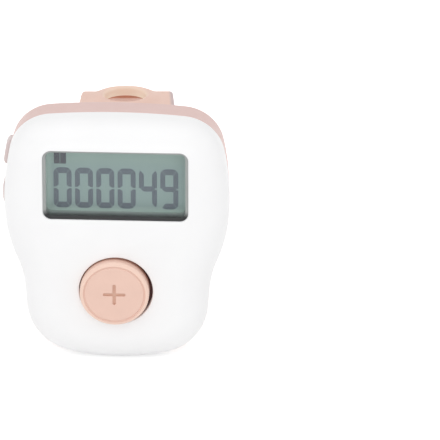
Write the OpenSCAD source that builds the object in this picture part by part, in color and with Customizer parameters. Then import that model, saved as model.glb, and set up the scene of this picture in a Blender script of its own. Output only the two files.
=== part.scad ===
// Finger tally counter: a two-part case with a display, a round count button, two side keys
// and a soft finger band on the back. Sizes are in millimetres. Each piece is drawn with
// x to the viewer's right, y up the face and z out of the face, with z = 0 at the case seam,
// and placed() then stands it up with the face to -Y and the finger loop's centre at the origin.

/* [Case] */
// Width across the widest part of the case
body_w = 34; // [33.5:0.5:36]
// Height of the case from top to bottom
body_h = 40; // [40:0.5:42]
// Depth of the front cover in front of the seam
front_d = 5.7; // [5.6:0.1:6.2]
// Depth of the back cover behind the seam
back_d = 4.8; // [4.5:0.1:5]
// Side wall of both covers
wall = 1.5; // [1.4:0.05:1.6]
// Face wall of the front cover
front_wall = 1.5; // [1.4:0.05:1.6]
// Face wall of the back cover
rear_wall = 1.2; // [1.1:0.05:1.3]
// How far the front edge rounds in from the side
front_round = 5; // [4:0.25:5.5]
// Straight side of the front cover before the rounding
front_side = 1.5; // [1.2:0.1:1.8]
// How far the rear edge rounds in from the side
rear_round = 1.3; // [0.8:0.1:1.6]

/* [Display] */
// Width of the display opening
window_w = 21.9; // [20:0.1:22]
// Height of the display opening
window_h = 11.4; // [10:0.1:11.6]
// Distance from the case top down to the middle of the opening
window_drop = 9.75; // [9.65:0.05:10.2]
// Corner radius of the display opening
window_r = 1.3; // [0.6:0.1:1.4]

/* [Count button] */
// Radius of the button cap
button_r = 5.26; // [4.6:0.02:5.3]
// Gap all round between the cap and its hole
button_gap = 0.32; // [0.3:0.02:0.45]
// How far the cap stands out of the front face
button_proud = 1.3; // [0.8:0.1:1.8]
// Distance from the case bottom up to the button's centre
button_rise = 12.7; // [12.2:0.1:12.8]
// Travel of the button when pressed
button_travel = 0.5; // [0.3:0.05:0.6]

/* [Side keys] */
// How far the upper key stands out of the side
reset_proud = 0.57; // [0.35:0.01:0.6]
// How far the lower key stands out of the side
power_proud = 0.36; // [0.25:0.01:0.6]
// Travel of both side keys when pressed
key_travel = 0.3; // [0.2:0.05:0.3]
// Length of the upper key along the side
reset_len = 4; // [3.4:0.1:4.2]
// Length of the lower key along the side
power_len = 3.8; // [3:0.1:3.8]

/* [Finger band] */
// Width of the band where it meets the case
band_w = 15; // [12:0.1:15]
// Thickness of the band
band_t = 1; // [1:0.1:1.4]
// Reach of the band behind the case
band_reach = 13; // [12.5:0.25:16]
// Height of the band where it meets the case
band_h = 23.2; // [22.6:0.1:24]
// Slope of the band's upper and lower walls
band_slope = 6.5; // [4:0.5:8]
// Radius of the cord eyelet in the band's upper wall
eyelet_r = 3.1; // [2.5:0.1:3.2]
// Height of the raised lip round the eyelet
eyelet_lip = 0.75; // [0.4:0.05:0.8]

/* [Hidden] */
$fn = 64;

// Outline radii: top, upper corner, side, shoulder, waist (hollow) and lower corner
crown_r = 115;
corner_r = 6.75;
side_r = 40;
shoulder_r = 23.7;
waist_r = 16;
foot_r = 8.15;
// Headings where each arc ends, turning clockwise from straight right at the top centre
corner_turn = 78;
side_turn = 92;
shoulder_turn = 112.5;
waist_turn = 94.6;
foot_turn = 167.5;
half_turn = 180;
// The top arc's turn makes the width come out right
crown_turn = asin((body_w / 2 - side_r - (corner_r - side_r) * sin(corner_turn)) / (crown_r - corner_r));

// Move along an arc of signed radius s from heading a to heading b
function stride(s, a, b) = s * [sin(b) - sin(a), cos(b) - cos(a)];
function arc(p, s, a, b, n) = [for (i = [1:n]) p + stride(s, a, a + (b - a) * i / n)];
function last(list) = list[len(list) - 1];

waist_end = [0, body_h / 2] + stride(crown_r, 0, crown_turn) + stride(corner_r, crown_turn, corner_turn)
    + stride(side_r, corner_turn, side_turn) + stride(shoulder_r, side_turn, shoulder_turn)
    + stride(-waist_r, shoulder_turn, waist_turn);
foot_reach = waist_end + stride(foot_r, waist_turn, foot_turn);
sole_slope = tan((half_turn - foot_turn) / 2);
// Straight length below the waist that lands the bottom at the right height
lobe_len = (foot_reach[1] - foot_reach[0] * sole_slope + body_h / 2)
    / (sin(waist_turn) + cos(waist_turn) * sole_slope);
// The bottom arc closes the outline on its middle line
sole_r = (foot_reach[0] + lobe_len * cos(waist_turn)) / sin(half_turn - foot_turn);

// Right half of the case outline, moved inwards by d
function half_outline(d) =
    let (
        start = [0, body_h / 2 - d],
        crown = arc(start, crown_r - d, 0, crown_turn, 3),
        corner = arc(last(crown), corner_r - d, crown_turn, corner_turn, 10),
        side = arc(last(corner), side_r - d, corner_turn, side_turn, 7),
        shoulder = arc(last(side), shoulder_r - d, side_turn, shoulder_turn, 5),
        waist = arc(last(shoulder), -waist_r - d, shoulder_turn, waist_turn, 3),
        lobe = last(waist) + lobe_len * [cos(waist_turn), -sin(waist_turn)],
        foot = arc(lobe, foot_r - d, waist_turn, foot_turn, 9),
        sole = arc(last(foot), sole_r - d, foot_turn, half_turn, 4)
    )
    concat([start], crown, corner, side, shoulder, waist, [lobe], foot, sole);

// Whole case outline, clockwise from the top centre
function outline(d) =
    let (right = half_outline(d))
    concat(right, [for (i = [len(right) - 2:-1:1]) [-right[i][0], right[i][1]]]);

// Rounded rectangle about the origin, clockwise
function round_rect(w, h, r) =
    [for (q = [0:3]) for (k = [0:4])
        let (a = 90 - 90 * q - 22.5 * k, sx = q < 2 ? 1 : -1, sy = q == 0 || q == 3 ? 1 : -1)
        [sx * (w / 2 - r) + r * cos(a), sy * (h / 2 - r) + r * sin(a)]];

// Heights of the stack, all from the seam
front_in = front_d - front_wall;
rear_in = rear_wall - back_d;
front_rise = front_d - front_side;
rear_rise = 1.2;
// How far the back cover's side leans in up to its rear rounding
rear_draft = 0.1;
step_z = 2.2;
step_inset = 2.4;
board_top = 0.6;
board_t = 0.8;
board_bottom = board_top - board_t;
// Small overlap that lets a cutter pass a face
pass = 0.5;

// Tongue of the back cover inside the front cover's rim
tongue_inset = 0.85;
tongue_gap = 0.05;
tongue_h = 0.8;
tongue_play = 0.1;

// Display stack
window_y = body_h / 2 - window_drop;
glass_w = 22.9;
glass_h = 12.6;
glass_y = window_y - 0.25;
window_flange = 0.8;
window_sink = 0.15;
window_play = 0.08;
// Border of the window: its width, the land on its crest, its bevel's height and the pane's depth under it
window_rim = 0.45;
window_land = 0.05;
window_bevel = 0.4;
window_recess = 0.65;
glass_t = 0.9;
glass_ledge = 1.1;
polarizer_t = 0.2;
polarizer_gap = 0.1;
polarizer_margin = 0.5;
polarizer_top = front_in - window_flange - polarizer_gap;
glass_top = polarizer_top - polarizer_t;
glass_mid = glass_top - glass_t;
glass_bottom = glass_mid - glass_t;
reflector_bottom = glass_bottom - polarizer_t;
zebra_w = 21.6;
zebra_d = 0.8;
frame_play = 0.1;
frame_wall = 0.55;
frame_r = 0.8;
frame_top = step_z - 0.1;

// Count button and its switch; the loose cap rests a little to the left in its hole
button_x = -0.19;
button_y = button_rise - body_h / 2;
button_top = front_d + button_proud;
button_rest = 0.15;
button_flange_r = 6.1;
button_flange_t = 0.65;
button_flange_top = front_in - button_rest;
button_edge = 0.4;
button_ring_r = button_r - button_edge - 0.25;
button_ring_w = 0.2;
button_ring_d = 0.12;
button_mark = 3.4;
button_mark_w = 0.55;
button_mark_d = 0.2;
guide_r = 6.45;
guide_t = 0.75;
guide_bottom = 2.5;
count_stem_r = 1.5;
plunger_r = 1;
plunger_gap = 0.3;
plunger_top = 2.9;
plunger_bottom = 1.8;
count_switch_w = 4.5;
count_switch_top = 2.1;
well_spare = 0.25;
count_well = plunger_bottom - button_travel - well_spare;

// Side keys and their switches
key_z = -1.6;
key_t = 1.8;
key_play = 0.15;
key_wall_gap = 0.25;
key_flange = 0.6;
key_flange_t = 0.6;
reset_top = body_h / 2 - 5.35;
power_top = body_h / 2 - 12.2;
reset_in = 3.6 - body_w / 2;
power_in = 2.1 - body_w / 2;
key_plunger_r = 0.6;
key_plunger_out = key_travel + 0.4;
key_plunger_in = 0.5;
side_switch_d = 3;
side_switch_w = 3.5;
side_switch_t = 2.4;
side_well = key_plunger_in + key_travel + well_spare;
outer_margin = 3;

// Fixings
post_r = 1.7;
mid_post = [body_w / 2 - 4, 1];
low_post = [body_w / 2 - 7.8, 5.6 - body_h / 2];
post_top = 4.3;
pilot_r = 0.7;
pilot_top = 3.4;
screw_r = 0.65;
screw_top = 3;
screw_head_r = 1.35;
screw_head_t = 0.9;
screw_hole_r = 0.8;
screw_sink_r = 1.5;
screw_seat = -3;
tube_r = 2;
tube_gap = 0.05;
driver_len = 1.5;
driver_w = 0.35;
driver_d = 0.45;
board_boss = [body_w / 2 - 6.6, 14.8 - body_h / 2];
board_boss_r = 1.3;
board_pilot_r = 0.5;
board_pilot_top = 3;
board_screw_r = 0.45;
board_screw_top = 2.6;
board_head_r = 1;
board_head_t = 0.6;
board_hole_r = 0.6;
posts = [[mid_post[0], mid_post[1]], [-mid_post[0], mid_post[1]],
    [low_post[0], low_post[1]], [-low_post[0], low_post[1]]];
bosses = [[board_boss[0], board_boss[1]], [-board_boss[0], board_boss[1]]];

// Circuit board
board_inset = 1.9;
board_notch = 2.05;
blob_at = [-4.5, 13 - body_h / 2];
blob_r = 3.2;
blob_h = 1.1;
crystal_at = [5.5, 11 - body_h / 2];
crystal_r = 1;
crystal_len = 6;
crystal_z = board_bottom - 1.05;
chip_size = [1.6, 0.8, 0.6];
chip_spots = [[1.6, 15.4 - body_h / 2], [-1, 8.6 - body_h / 2], [-6.6, 8.4 - body_h / 2],
    [8.4, 13.8 - body_h / 2], [1.6, 13.4 - body_h / 2]];

// Charging socket at the bottom edge
socket_w = 7.5;
socket_t = 2.5;
socket_len = 5.6;
socket_low_w = 5.8;
socket_shoulder = 1.4;
socket_wall = 0.28;
socket_back = 0.5;
socket_mouth = 2 - body_h / 2;
tongue_w = 4;
tongue_t = 0.6;
tongue_len = 3.9;
port_w = 7.9;
port_t = 2.4;
port_r = 0.6;

// Cell
cell_w = 18;
cell_h = 11.6;
cell_x = 0.8;
cell_y = body_h / 2 - 13.9;
cell_r = 1;
cell_bottom = rear_in + 0.1;
cell_top = board_bottom - 0.55;
tape_w = 15;
tape_h = 9;
cell_board_w = 6.4;
cell_board_h = 1.6;
cell_board_t = 1;
cell_board_x = 6.6;
cell_board_z = -2;
lead_r = 0.35;
lead_bend = 1;
lead_run = 1.4;
lead_x = [5, 8.4];

// Finger band: u runs behind the case, y up
band_x = 1.1;
band_y = body_h / 2 - 13.9;
band_foot_r = 2;
band_back_r = 5;
band_edge = 0.45;
band_taper = 0.11;
// The eyelet sits a little to the left of the band's middle
eyelet_x = band_x - 0.25;
eyelet_u = 6.4;
eyelet_base_r = 4.8;
eyelet_crest = 0.45;
eyelet_root = 0.8;
stud_r = 1.2;
stud_hole_r = 1.25;
stud_head_r = 1.9;
stud_head_t = 1;
stud_spread = 8.2;
studs = [[band_x, band_y + stud_spread], [band_x, band_y - stud_spread]];
rise = band_h / 2;
band_normal = 90 - band_slope;
loop_y = band_y;
loop_z = -back_d - band_reach / 2;

// Height of the centre of a corner of radius r under the upper wall, c behind the case
function corner_y(c, r) = rise - c * tan(band_slope) - r / cos(band_slope);
foot_at = [band_foot_r, corner_y(band_foot_r, band_foot_r)];
back_at = [band_reach - band_back_r, corner_y(band_reach - band_back_r, band_back_r)];
// Each corner's centre, radius, first and last direction, and steps
band_corners = [
    [foot_at, band_foot_r, 180, band_normal, 6],
    [back_at, band_back_r, band_normal, 0, 10],
    [[back_at[0], -back_at[1]], band_back_r, 0, -band_normal, 10],
    [[foot_at[0], -foot_at[1]], band_foot_r, -band_normal, -180, 6]];

// Closed loop of the band's side, moved inwards by d
function band_loop(d) =
    [for (c = band_corners) for (i = [0:c[4]])
        let (a = c[2] + (c[3] - c[2]) * i / c[4])
        c[0] + (c[1] - d) * [cos(a), sin(a)]];

// Rounded section of the band as [inset, sideways] points
band_section =
    [for (q = [0:3]) for (k = [0:2])
        let (a = 270 - 90 * q - 45 * k, sd = q < 2 ? -1 : 1, sv = q == 0 || q == 3 ? -1 : 1)
        [band_t / 2 + sd * (band_t / 2 - band_edge) + band_edge * cos(a),
            sv * (band_w / 2 - band_edge) + band_edge * sin(a)]];

// Two triangles for each cell of a wrapped grid of points, row k to row m
function grid_faces(k, m, n) =
    [for (i = [0:n - 1]) let (j = (i + 1) % n)
        each [[k * n + i, k * n + j, m * n + j], [k * n + i, m * n + j, m * n + i]]];

// Stands the part up in its frame
module placed() {
    rotate([90, 0, 0])
        translate([0, -loop_y, -loop_z])
            children();
}

// Solid through flat loops of points, each with its height, lowest first
module lofted(loops, heights) {
    n = len(loops[0]);
    top = len(loops) - 1;
    points = [for (k = [0:top]) for (p = loops[k]) [p[0], p[1], heights[k]]];
    sides = [for (k = [0:top - 1]) each grid_faces(k, k + 1, n)];
    base = [for (i = [0:n - 1]) (n - i) % n];
    lid = [for (i = [0:n - 1]) top * n + i];
    polyhedron(points, concat(sides, [base, lid]));
}

// Solid through [inset, height] rings of the case outline, lowest first
module stacked(rings) {
    lofted([for (ring = rings) outline(ring[0])], [for (ring = rings) ring[1]]);
}

// Upright block with the case outline moved inwards by d, from one height to another
module outline_block(d, low, high) {
    translate([0, 0, low])
        linear_extrude(high - low)
            polygon(outline(d));
}

// Upright cylinder from one height to another
module column(at, r, low, high) {
    translate([at[0], at[1], low])
        cylinder(r = r, h = high - low);
}

// Upright box about a point, from one height to another
module plate(at, size, low, high) {
    translate([at[0] - size[0] / 2, at[1] - size[1] / 2, low])
        cube([size[0], size[1], high - low]);
}

// Upright block with a rounded rectangle's outline
module pane(at, size, r, low, high) {
    translate([at[0], at[1], low])
        linear_extrude(high - low)
            polygon(round_rect(size[0], size[1], r));
}

module front_shell() {
    arcs = [for (i = [1:8]) let (t = 90 * i / 8)
        [front_round * (1 - cos(t)), front_side + front_rise * sin(t)]];
    difference() {
        stacked(concat([[0, 0], [0, front_side]], arcs));
        outline_block(tongue_inset - tongue_gap, -pass, tongue_h + tongue_play);
        outline_block(wall, -pass, step_z);
        outline_block(step_inset, -pass, front_in);
    }
}

module front_cover() {
    color("white") placed() difference() {
        union() {
            front_shell();
            for (p = posts)
                column(p, post_r, 0, post_top);
            for (p = bosses)
                column(p, board_boss_r, board_top, post_top);
            column([0, button_y], guide_r + guide_t, guide_bottom, post_top);
        }
        pane([0, window_y], [window_w, window_h], window_r, front_in - pass, front_d + pass);
        column([0, button_y], button_r + button_gap, front_in - pass, front_d + pass);
        column([0, button_y], guide_r, guide_bottom - pass, front_in);
        for (p = posts)
            column(p, pilot_r, -pass, pilot_top);
        for (p = bosses)
            column(p, board_pilot_r, board_top - pass, board_pilot_top);
    }
}

module back_shell() {
    arcs = [for (i = [0:5]) let (t = 90 - 90 * i / 5)
        [rear_draft + rear_round * (1 - cos(t)), rear_rise - back_d - rear_rise * sin(t)]];
    difference() {
        union() {
            stacked(concat(arcs, [[0, 0]]));
            outline_block(tongue_inset, -pass, tongue_h);
        }
        outline_block(wall, rear_in, tongue_h + pass);
    }
}

// Opening in the case's left side for a key
module key_slot(top, len) {
    low = top - len - key_play;
    translate([-body_w / 2 - outer_margin, low, key_z - key_t / 2 - key_play])
        cube([outer_margin + wall + outer_margin, len + 2 * key_play, key_t + 2 * key_play]);
}

module back_cover() {
    color("pink") placed() difference() {
        union() {
            back_shell();
            for (p = posts)
                column(p, tube_r, rear_in - tube_gap, -tube_gap);
        }
        for (p = posts) {
            column(p, screw_hole_r, -back_d - pass, pass);
            column(p, screw_sink_r, -back_d - pass, screw_seat);
        }
        key_slot(reset_top, reset_len);
        key_slot(power_top, power_len);
        for (p = studs)
            column(p, stud_hole_r, -back_d - pass, rear_in + pass);
        translate([0, socket_mouth, board_bottom - socket_t / 2])
            rotate([90, 0, 0])
                linear_extrude(outer_margin)
                    polygon(round_rect(port_w, port_t, port_r));
    }
}

// Outline of the window in its opening, moved inwards by d
function window_loop(d) =
    round_rect(window_w - 2 * (window_play + d), window_h - 2 * (window_play + d), window_r - window_play - d);

module display_window() {
    top = front_d - window_sink;
    recess = [[window_rim, top - window_recess], [window_rim, top - window_bevel], [window_land, top],
        [window_land, top + pass]];
    color("azure") placed() difference() {
        union() {
            plate([0, glass_y], [glass_w, glass_h], front_in - window_flange, front_in);
            translate([0, window_y, front_in - window_flange / 2])
                linear_extrude(top - front_in + window_flange / 2)
                    polygon(window_loop(0));
        }
        translate([0, window_y, 0])
            lofted([for (ring = recess) window_loop(ring[0])], [for (ring = recess) ring[1]]);
    }
}

module front_polarizer() {
    color("darkseagreen") placed()
        plate([0, glass_y], [glass_w - polarizer_margin, glass_h - polarizer_margin],
            glass_top, polarizer_top);
}

module lcd_front_glass() {
    color("lightcyan") placed()
        plate([0, glass_y], [glass_w, glass_h], glass_mid, glass_top);
}

module lcd_rear_glass() {
    color("lightcyan") placed()
        plate([0, glass_y], [glass_w, glass_h - 2 * glass_ledge], glass_bottom, glass_mid);
}

module reflector() {
    color("silver") placed()
        plate([0, glass_y], [glass_w - polarizer_margin, glass_h - 2 * glass_ledge - polarizer_margin],
            reflector_bottom, glass_bottom);
}

module light_guide() {
    color("ivory") placed()
        plate([0, glass_y], [glass_w - polarizer_margin, glass_h - 2 * glass_ledge - polarizer_margin],
            board_top, reflector_bottom);
}

module zebra_strips() {
    offset_y = glass_h / 2 - glass_ledge / 2;
    color("dimgray") placed()
        for (s = [-1, 1])
            plate([0, glass_y + s * offset_y], [zebra_w, zebra_d], board_top, glass_mid);
}

module display_frame() {
    inner = [glass_w + 2 * frame_play, glass_h + 2 * frame_play];
    color("whitesmoke") placed() difference() {
        pane([0, glass_y], [inner[0] + 2 * frame_wall, inner[1] + 2 * frame_wall], frame_r,
            board_top, frame_top);
        plate([0, glass_y], inner, board_top - pass, frame_top + pass);
    }
}

module main_board() {
    color("seagreen") placed() difference() {
        outline_block(board_inset, board_bottom, board_top);
        for (s = [-1, 1]) {
            plate([s * (mid_post[0] + outer_margin), mid_post[1]],
                [2 * (board_notch + outer_margin), 2 * board_notch], board_bottom - pass, board_top + pass);
            plate([s * (low_post[0] + outer_margin), low_post[1] - outer_margin],
                [2 * (board_notch + outer_margin), 2 * (board_notch + outer_margin)],
                board_bottom - pass, board_top + pass);
        }
        for (p = bosses)
            column(p, board_hole_r, board_bottom - pass, board_top + pass);
    }
}

module count_button() {
    edge = [for (i = [0:5]) let (t = 90 * i / 5)
        [button_r - button_edge + button_edge * cos(t), button_top - button_edge + button_edge * sin(t)]];
    groove = [[button_ring_r + button_ring_w, button_top], [button_ring_r, button_top - button_ring_d],
        [button_ring_r - button_ring_w, button_top]];
    flange_low = button_flange_top - button_flange_t;
    under = [[0, button_top], [0, plunger_top], [count_stem_r, plunger_top],
        [count_stem_r, flange_low], [button_flange_r, flange_low],
        [button_flange_r, button_flange_top], [button_r, button_flange_top]];
    color("peachpuff") placed() translate([button_x, button_y, 0]) difference() {
        rotate_extrude()
            polygon(concat(under, edge, groove));
        plate([0, 0], [button_mark, button_mark_w], button_top - button_mark_d, button_top + pass);
        plate([0, 0], [button_mark_w, button_mark], button_top - button_mark_d, button_top + pass);
    }
}

module count_plunger() {
    color("dimgray") placed()
        column([0, button_y], plunger_r, plunger_bottom, plunger_top);
}

module count_switch() {
    color("silver") placed() difference() {
        plate([0, button_y], [count_switch_w, count_switch_w], board_top, count_switch_top);
        column([0, button_y], plunger_r + plunger_gap, count_well, count_switch_top + pass);
    }
}

// Side key with a flange behind the case wall
module side_key(proud, top, len, inner) {
    low = top - len;
    translate([0, 0, key_z - key_t / 2]) linear_extrude(key_t) union() {
        intersection() {
            polygon(outline(-proud));
            translate([-body_w, low])
                square([body_w + inner, len]);
        }
        intersection() {
            polygon(outline(wall + key_wall_gap));
            translate([-body_w, low - key_flange])
                square([body_w + inner + key_flange_t, len + 2 * key_flange]);
        }
    }
}

// Switch plunger between a key and its switch
module side_plunger(top, len, inner) {
    translate([inner + key_flange_t, top - len / 2, key_z])
        rotate([0, 90, 0])
            cylinder(r = key_plunger_r, h = key_plunger_out + key_plunger_in);
}

// Switch body with a well for its plunger
module side_switch(top, len, inner) {
    face = inner + key_flange_t + key_plunger_out;
    difference() {
        translate([face, top - len / 2 - side_switch_w / 2, board_bottom - side_switch_t])
            cube([side_switch_d, side_switch_w, side_switch_t]);
        translate([face - pass, top - len / 2, key_z])
            rotate([0, 90, 0])
                cylinder(r = key_plunger_r + plunger_gap, h = pass + side_well);
    }
}

module reset_key() {
    color("pink") placed() side_key(reset_proud, reset_top, reset_len, reset_in);
}

module reset_plunger() {
    color("dimgray") placed() side_plunger(reset_top, reset_len, reset_in);
}

module reset_switch() {
    color("silver") placed() side_switch(reset_top, reset_len, reset_in);
}

module power_key() {
    color("pink") placed() side_key(power_proud, power_top, power_len, power_in);
}

module power_plunger() {
    color("dimgray") placed() side_plunger(power_top, power_len, power_in);
}

module power_switch() {
    color("silver") placed() side_switch(power_top, power_len, power_in);
}

module controller() {
    dome = [for (i = [0:6]) let (t = 90 * i / 6) [blob_r * cos(t), -blob_h * sin(t)]];
    color("black") placed() translate([blob_at[0], blob_at[1], board_bottom])
        rotate_extrude()
            polygon(concat([[0, 0]], dome));
}

module crystal() {
    color("silver") placed() translate([crystal_at[0] - crystal_len / 2, crystal_at[1], crystal_z])
        rotate([0, 90, 0])
            cylinder(r = crystal_r, h = crystal_len);
}

module board_chips() {
    color("tan") placed()
        for (p = chip_spots)
            plate(p, [chip_size[0], chip_size[1]], board_bottom - chip_size[2], board_bottom);
}

// Charging socket's section, narrower at its lower side, moved inwards by d
module socket_section(d) {
    half = socket_w / 2 - d;
    low = socket_low_w / 2 - d / 2;
    polygon([[-half, -d], [half, -d], [half, -socket_shoulder], [low, d - socket_t],
        [-low, d - socket_t], [-half, -socket_shoulder]]);
}

module charging_socket() {
    color("silver") placed() translate([0, socket_mouth, board_bottom]) rotate([90, 0, 0]) difference() {
        translate([0, 0, -socket_len])
            linear_extrude(socket_len)
                socket_section(0);
        translate([0, 0, socket_back - socket_len])
            linear_extrude(socket_len)
                socket_section(socket_wall);
    }
}

module socket_tongue() {
    color("black") placed()
        translate([-tongue_w / 2, socket_mouth + socket_len - socket_back - tongue_len,
            board_bottom - socket_t / 2 - tongue_t / 2])
            cube([tongue_w, tongue_len, tongue_t]);
}

module cell() {
    color("lightsteelblue") placed()
        pane([cell_x, cell_y], [cell_w, cell_h], cell_r, cell_bottom, cell_top);
}

module cell_board() {
    color("seagreen") placed()
        plate([cell_board_x, cell_y - cell_h / 2 - cell_board_h / 2], [cell_board_w, cell_board_h],
            cell_board_z - cell_board_t / 2, cell_board_z + cell_board_t / 2);
}

module cell_leads() {
    start = cell_y - cell_h / 2 - cell_board_h;
    color("red") placed() for (x = lead_x) translate([x, start, cell_board_z]) {
        rotate([90, 0, 0])
            cylinder(r = lead_r, h = lead_run);
        translate([0, -lead_run, lead_bend])
            rotate([0, 90, 0])
                rotate_extrude(angle = -90)
                    translate([lead_bend, 0])
                        circle(r = lead_r);
        translate([0, -lead_run - lead_bend, lead_bend])
            cylinder(r = lead_r, h = board_bottom - cell_board_z - lead_bend);
    }
}

module cell_tape() {
    color("whitesmoke") placed()
        plate([cell_x, cell_y], [tape_w, tape_h], cell_top, board_bottom);
}

module band_loop_solid() {
    points = [for (s = band_section) for (p = band_loop(s[0]))
        [band_x + s[1] * (1 - band_taper * p[0] / band_reach), band_y + p[1], -back_d - p[0]]];
    n = len(band_loop(0));
    rows = len(band_section);
    polyhedron(points, [for (k = [0:rows - 1]) each grid_faces(k, (k + 1) % rows, n)]);
}

// Places children on the band's upper wall, with z out of the wall at the eyelet's centre
module at_eyelet() {
    translate([eyelet_x, band_y + rise - eyelet_u * tan(band_slope), -back_d - eyelet_u])
        rotate([-90 - band_slope, 0, 0])
            children();
}

module finger_band() {
    flare = [for (i = [0:4]) let (t = i / 4)
        [eyelet_base_r + (eyelet_r + eyelet_crest - eyelet_base_r) * t,
            eyelet_lip * (3 * t * t - 2 * t * t * t)]];
    root = -eyelet_root * band_t;
    lip = concat([[eyelet_r / 2, eyelet_lip], [eyelet_r / 2, root], [eyelet_base_r, root]], flare);
    color("lightpink") placed() difference() {
        union() {
            band_loop_solid();
            at_eyelet()
                rotate_extrude()
                    polygon(lip);
            for (p = studs) {
                column(p, stud_r, -back_d - band_t / 2, rear_in + stud_head_t / 2);
                column(p, stud_head_r, rear_in, rear_in + stud_head_t);
            }
        }
        at_eyelet()
            column([0, 0], eyelet_r, -band_t - pass, eyelet_lip + pass);
    }
}

// Cross slot of a screw head at its outer face, z pointing into the head
module driver_slot() {
    translate([0, 0, (driver_d - pass) / 2]) {
        cube([driver_len, driver_w, driver_d + pass], center = true);
        cube([driver_w, driver_len, driver_d + pass], center = true);
    }
}

module case_screws() {
    color("silver") placed() for (p = posts) difference() {
        union() {
            column(p, screw_r, screw_seat - screw_head_t / 2, screw_top);
            column(p, screw_head_r, screw_seat - screw_head_t, screw_seat);
        }
        translate([p[0], p[1], screw_seat - screw_head_t])
            driver_slot();
    }
}

module board_screws() {
    color("silver") placed() for (p = bosses)
        union() {
            column(p, board_screw_r, board_bottom - board_head_t / 2, board_screw_top);
            column(p, board_head_r, board_bottom - board_head_t, board_bottom);
        }
}

front_cover();
back_cover();
display_window();
front_polarizer();
lcd_front_glass();
lcd_rear_glass();
reflector();
light_guide();
zebra_strips();
display_frame();
main_board();
count_button();
count_plunger();
count_switch();
reset_key();
reset_plunger();
reset_switch();
power_key();
power_plunger();
power_switch();
controller();
crystal();
board_chips();
charging_socket();
socket_tongue();
cell();
cell_board();
cell_leads();
cell_tape();
finger_band();
case_screws();
board_screws();
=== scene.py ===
"""Builds the looks of a finger tally counter around its solid parts."""

import math
from collections import namedtuple

import bmesh
import bpy
from bpy.props import FloatProperty, FloatVectorProperty, IntProperty, PointerProperty, StringProperty
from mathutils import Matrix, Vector, kdtree


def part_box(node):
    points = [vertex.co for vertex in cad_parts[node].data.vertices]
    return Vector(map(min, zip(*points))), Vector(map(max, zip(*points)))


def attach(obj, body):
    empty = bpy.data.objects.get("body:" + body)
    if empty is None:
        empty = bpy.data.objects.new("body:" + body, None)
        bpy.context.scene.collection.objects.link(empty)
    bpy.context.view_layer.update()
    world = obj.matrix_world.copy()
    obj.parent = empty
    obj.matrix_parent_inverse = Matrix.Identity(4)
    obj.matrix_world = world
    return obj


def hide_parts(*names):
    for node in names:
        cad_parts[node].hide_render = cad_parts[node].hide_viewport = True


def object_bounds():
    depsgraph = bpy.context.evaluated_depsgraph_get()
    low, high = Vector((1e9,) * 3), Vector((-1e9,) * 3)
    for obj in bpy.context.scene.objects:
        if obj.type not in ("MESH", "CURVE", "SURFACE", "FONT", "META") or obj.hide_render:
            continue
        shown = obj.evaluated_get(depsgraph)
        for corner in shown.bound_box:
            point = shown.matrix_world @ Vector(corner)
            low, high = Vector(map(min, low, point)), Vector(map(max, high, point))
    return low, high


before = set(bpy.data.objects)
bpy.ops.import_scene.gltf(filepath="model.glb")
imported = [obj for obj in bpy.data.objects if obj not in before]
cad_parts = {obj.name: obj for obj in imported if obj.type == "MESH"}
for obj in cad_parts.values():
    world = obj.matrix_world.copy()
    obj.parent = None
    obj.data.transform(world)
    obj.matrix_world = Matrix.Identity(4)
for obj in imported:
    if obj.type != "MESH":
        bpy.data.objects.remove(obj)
CAD_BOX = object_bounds()

bl_info = {
    "name": "Finger tally counter",
    "version": (1, 0, 0),
    "blender": (4, 5, 0),
    "location": "3D View > Sidebar > Counter",
    "description": "Builds the looks of a finger tally counter around its solid parts",
    "category": "Add Mesh",
}

MM_PER_M = 1000.0
QUARTER_TURN, HALF_TURN, FULL_TURN = 90.0, 180.0, 360.0
WHITE = (1.0, 1.0, 1.0, 1.0)

# Sizes in millimetres that follow the solid parts.
FRONT_LOW, FRONT_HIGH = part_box("front_cover")
BACK_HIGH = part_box("back_cover")[1]
BODY_W = (FRONT_HIGH[0] - FRONT_LOW[0]) * MM_PER_M
BODY_H = (FRONT_HIGH[2] - FRONT_LOW[2]) * MM_PER_M
FRONT_D = (FRONT_HIGH[1] - FRONT_LOW[1]) * MM_PER_M
BACK_D = (BACK_HIGH[1] - FRONT_HIGH[1]) * MM_PER_M
SEAM = FRONT_HIGH[1] * MM_PER_M
MIDDLE = (FRONT_LOW[2] + FRONT_HIGH[2]) / 2 * MM_PER_M

# From here sizes are in millimetres and angles in degrees, and places are in the face's own axes: x to
# the right, y up and z out of the face, from the middle of the seam.

# Outline of the case, clockwise from the top centre: each arc's radius, the heading where it ends
# and its steps.
CROWN_R, CROWN_STEPS = 115.0, 3
CORNER_R, CORNER_TURN, CORNER_STEPS = 6.75, 78.0, 10
SIDE_R, SIDE_TURN, SIDE_STEPS = 40.0, 92.0, 7
SHOULDER_R, SHOULDER_TURN, SHOULDER_STEPS = 23.7, 112.5, 5
WAIST_R, WAIST_TURN, WAIST_STEPS = 16.0, 94.6, 3
FOOT_R, FOOT_TURN, FOOT_STEPS = 8.15, 167.5, 9
SOLE_STEPS = 4

# Shells of the two covers: thicknesses, heights from the seam, and insets from the outline.
FACE_T, REAR_T, WALL = 1.5, 1.2, 1.5
FRONT_SIDE, FRONT_ROUND, FRONT_STEPS = 1.5, 5.0, 30
FRONT_IN = FRONT_D - FACE_T
REAR_DRAFT, REAR_ROUND, REAR_RISE, REAR_STEPS = 0.25, 1.3, 1.2, 12
REAR_IN = REAR_T - BACK_D
STEP_INSET, STEP_Z = 2.4, 2.2
RIM_INSET, RIM_Z = 0.8, 0.9
TONGUE_INSET, TONGUE_Z = 0.85, 0.8
LIP_STEPS = 6

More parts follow.
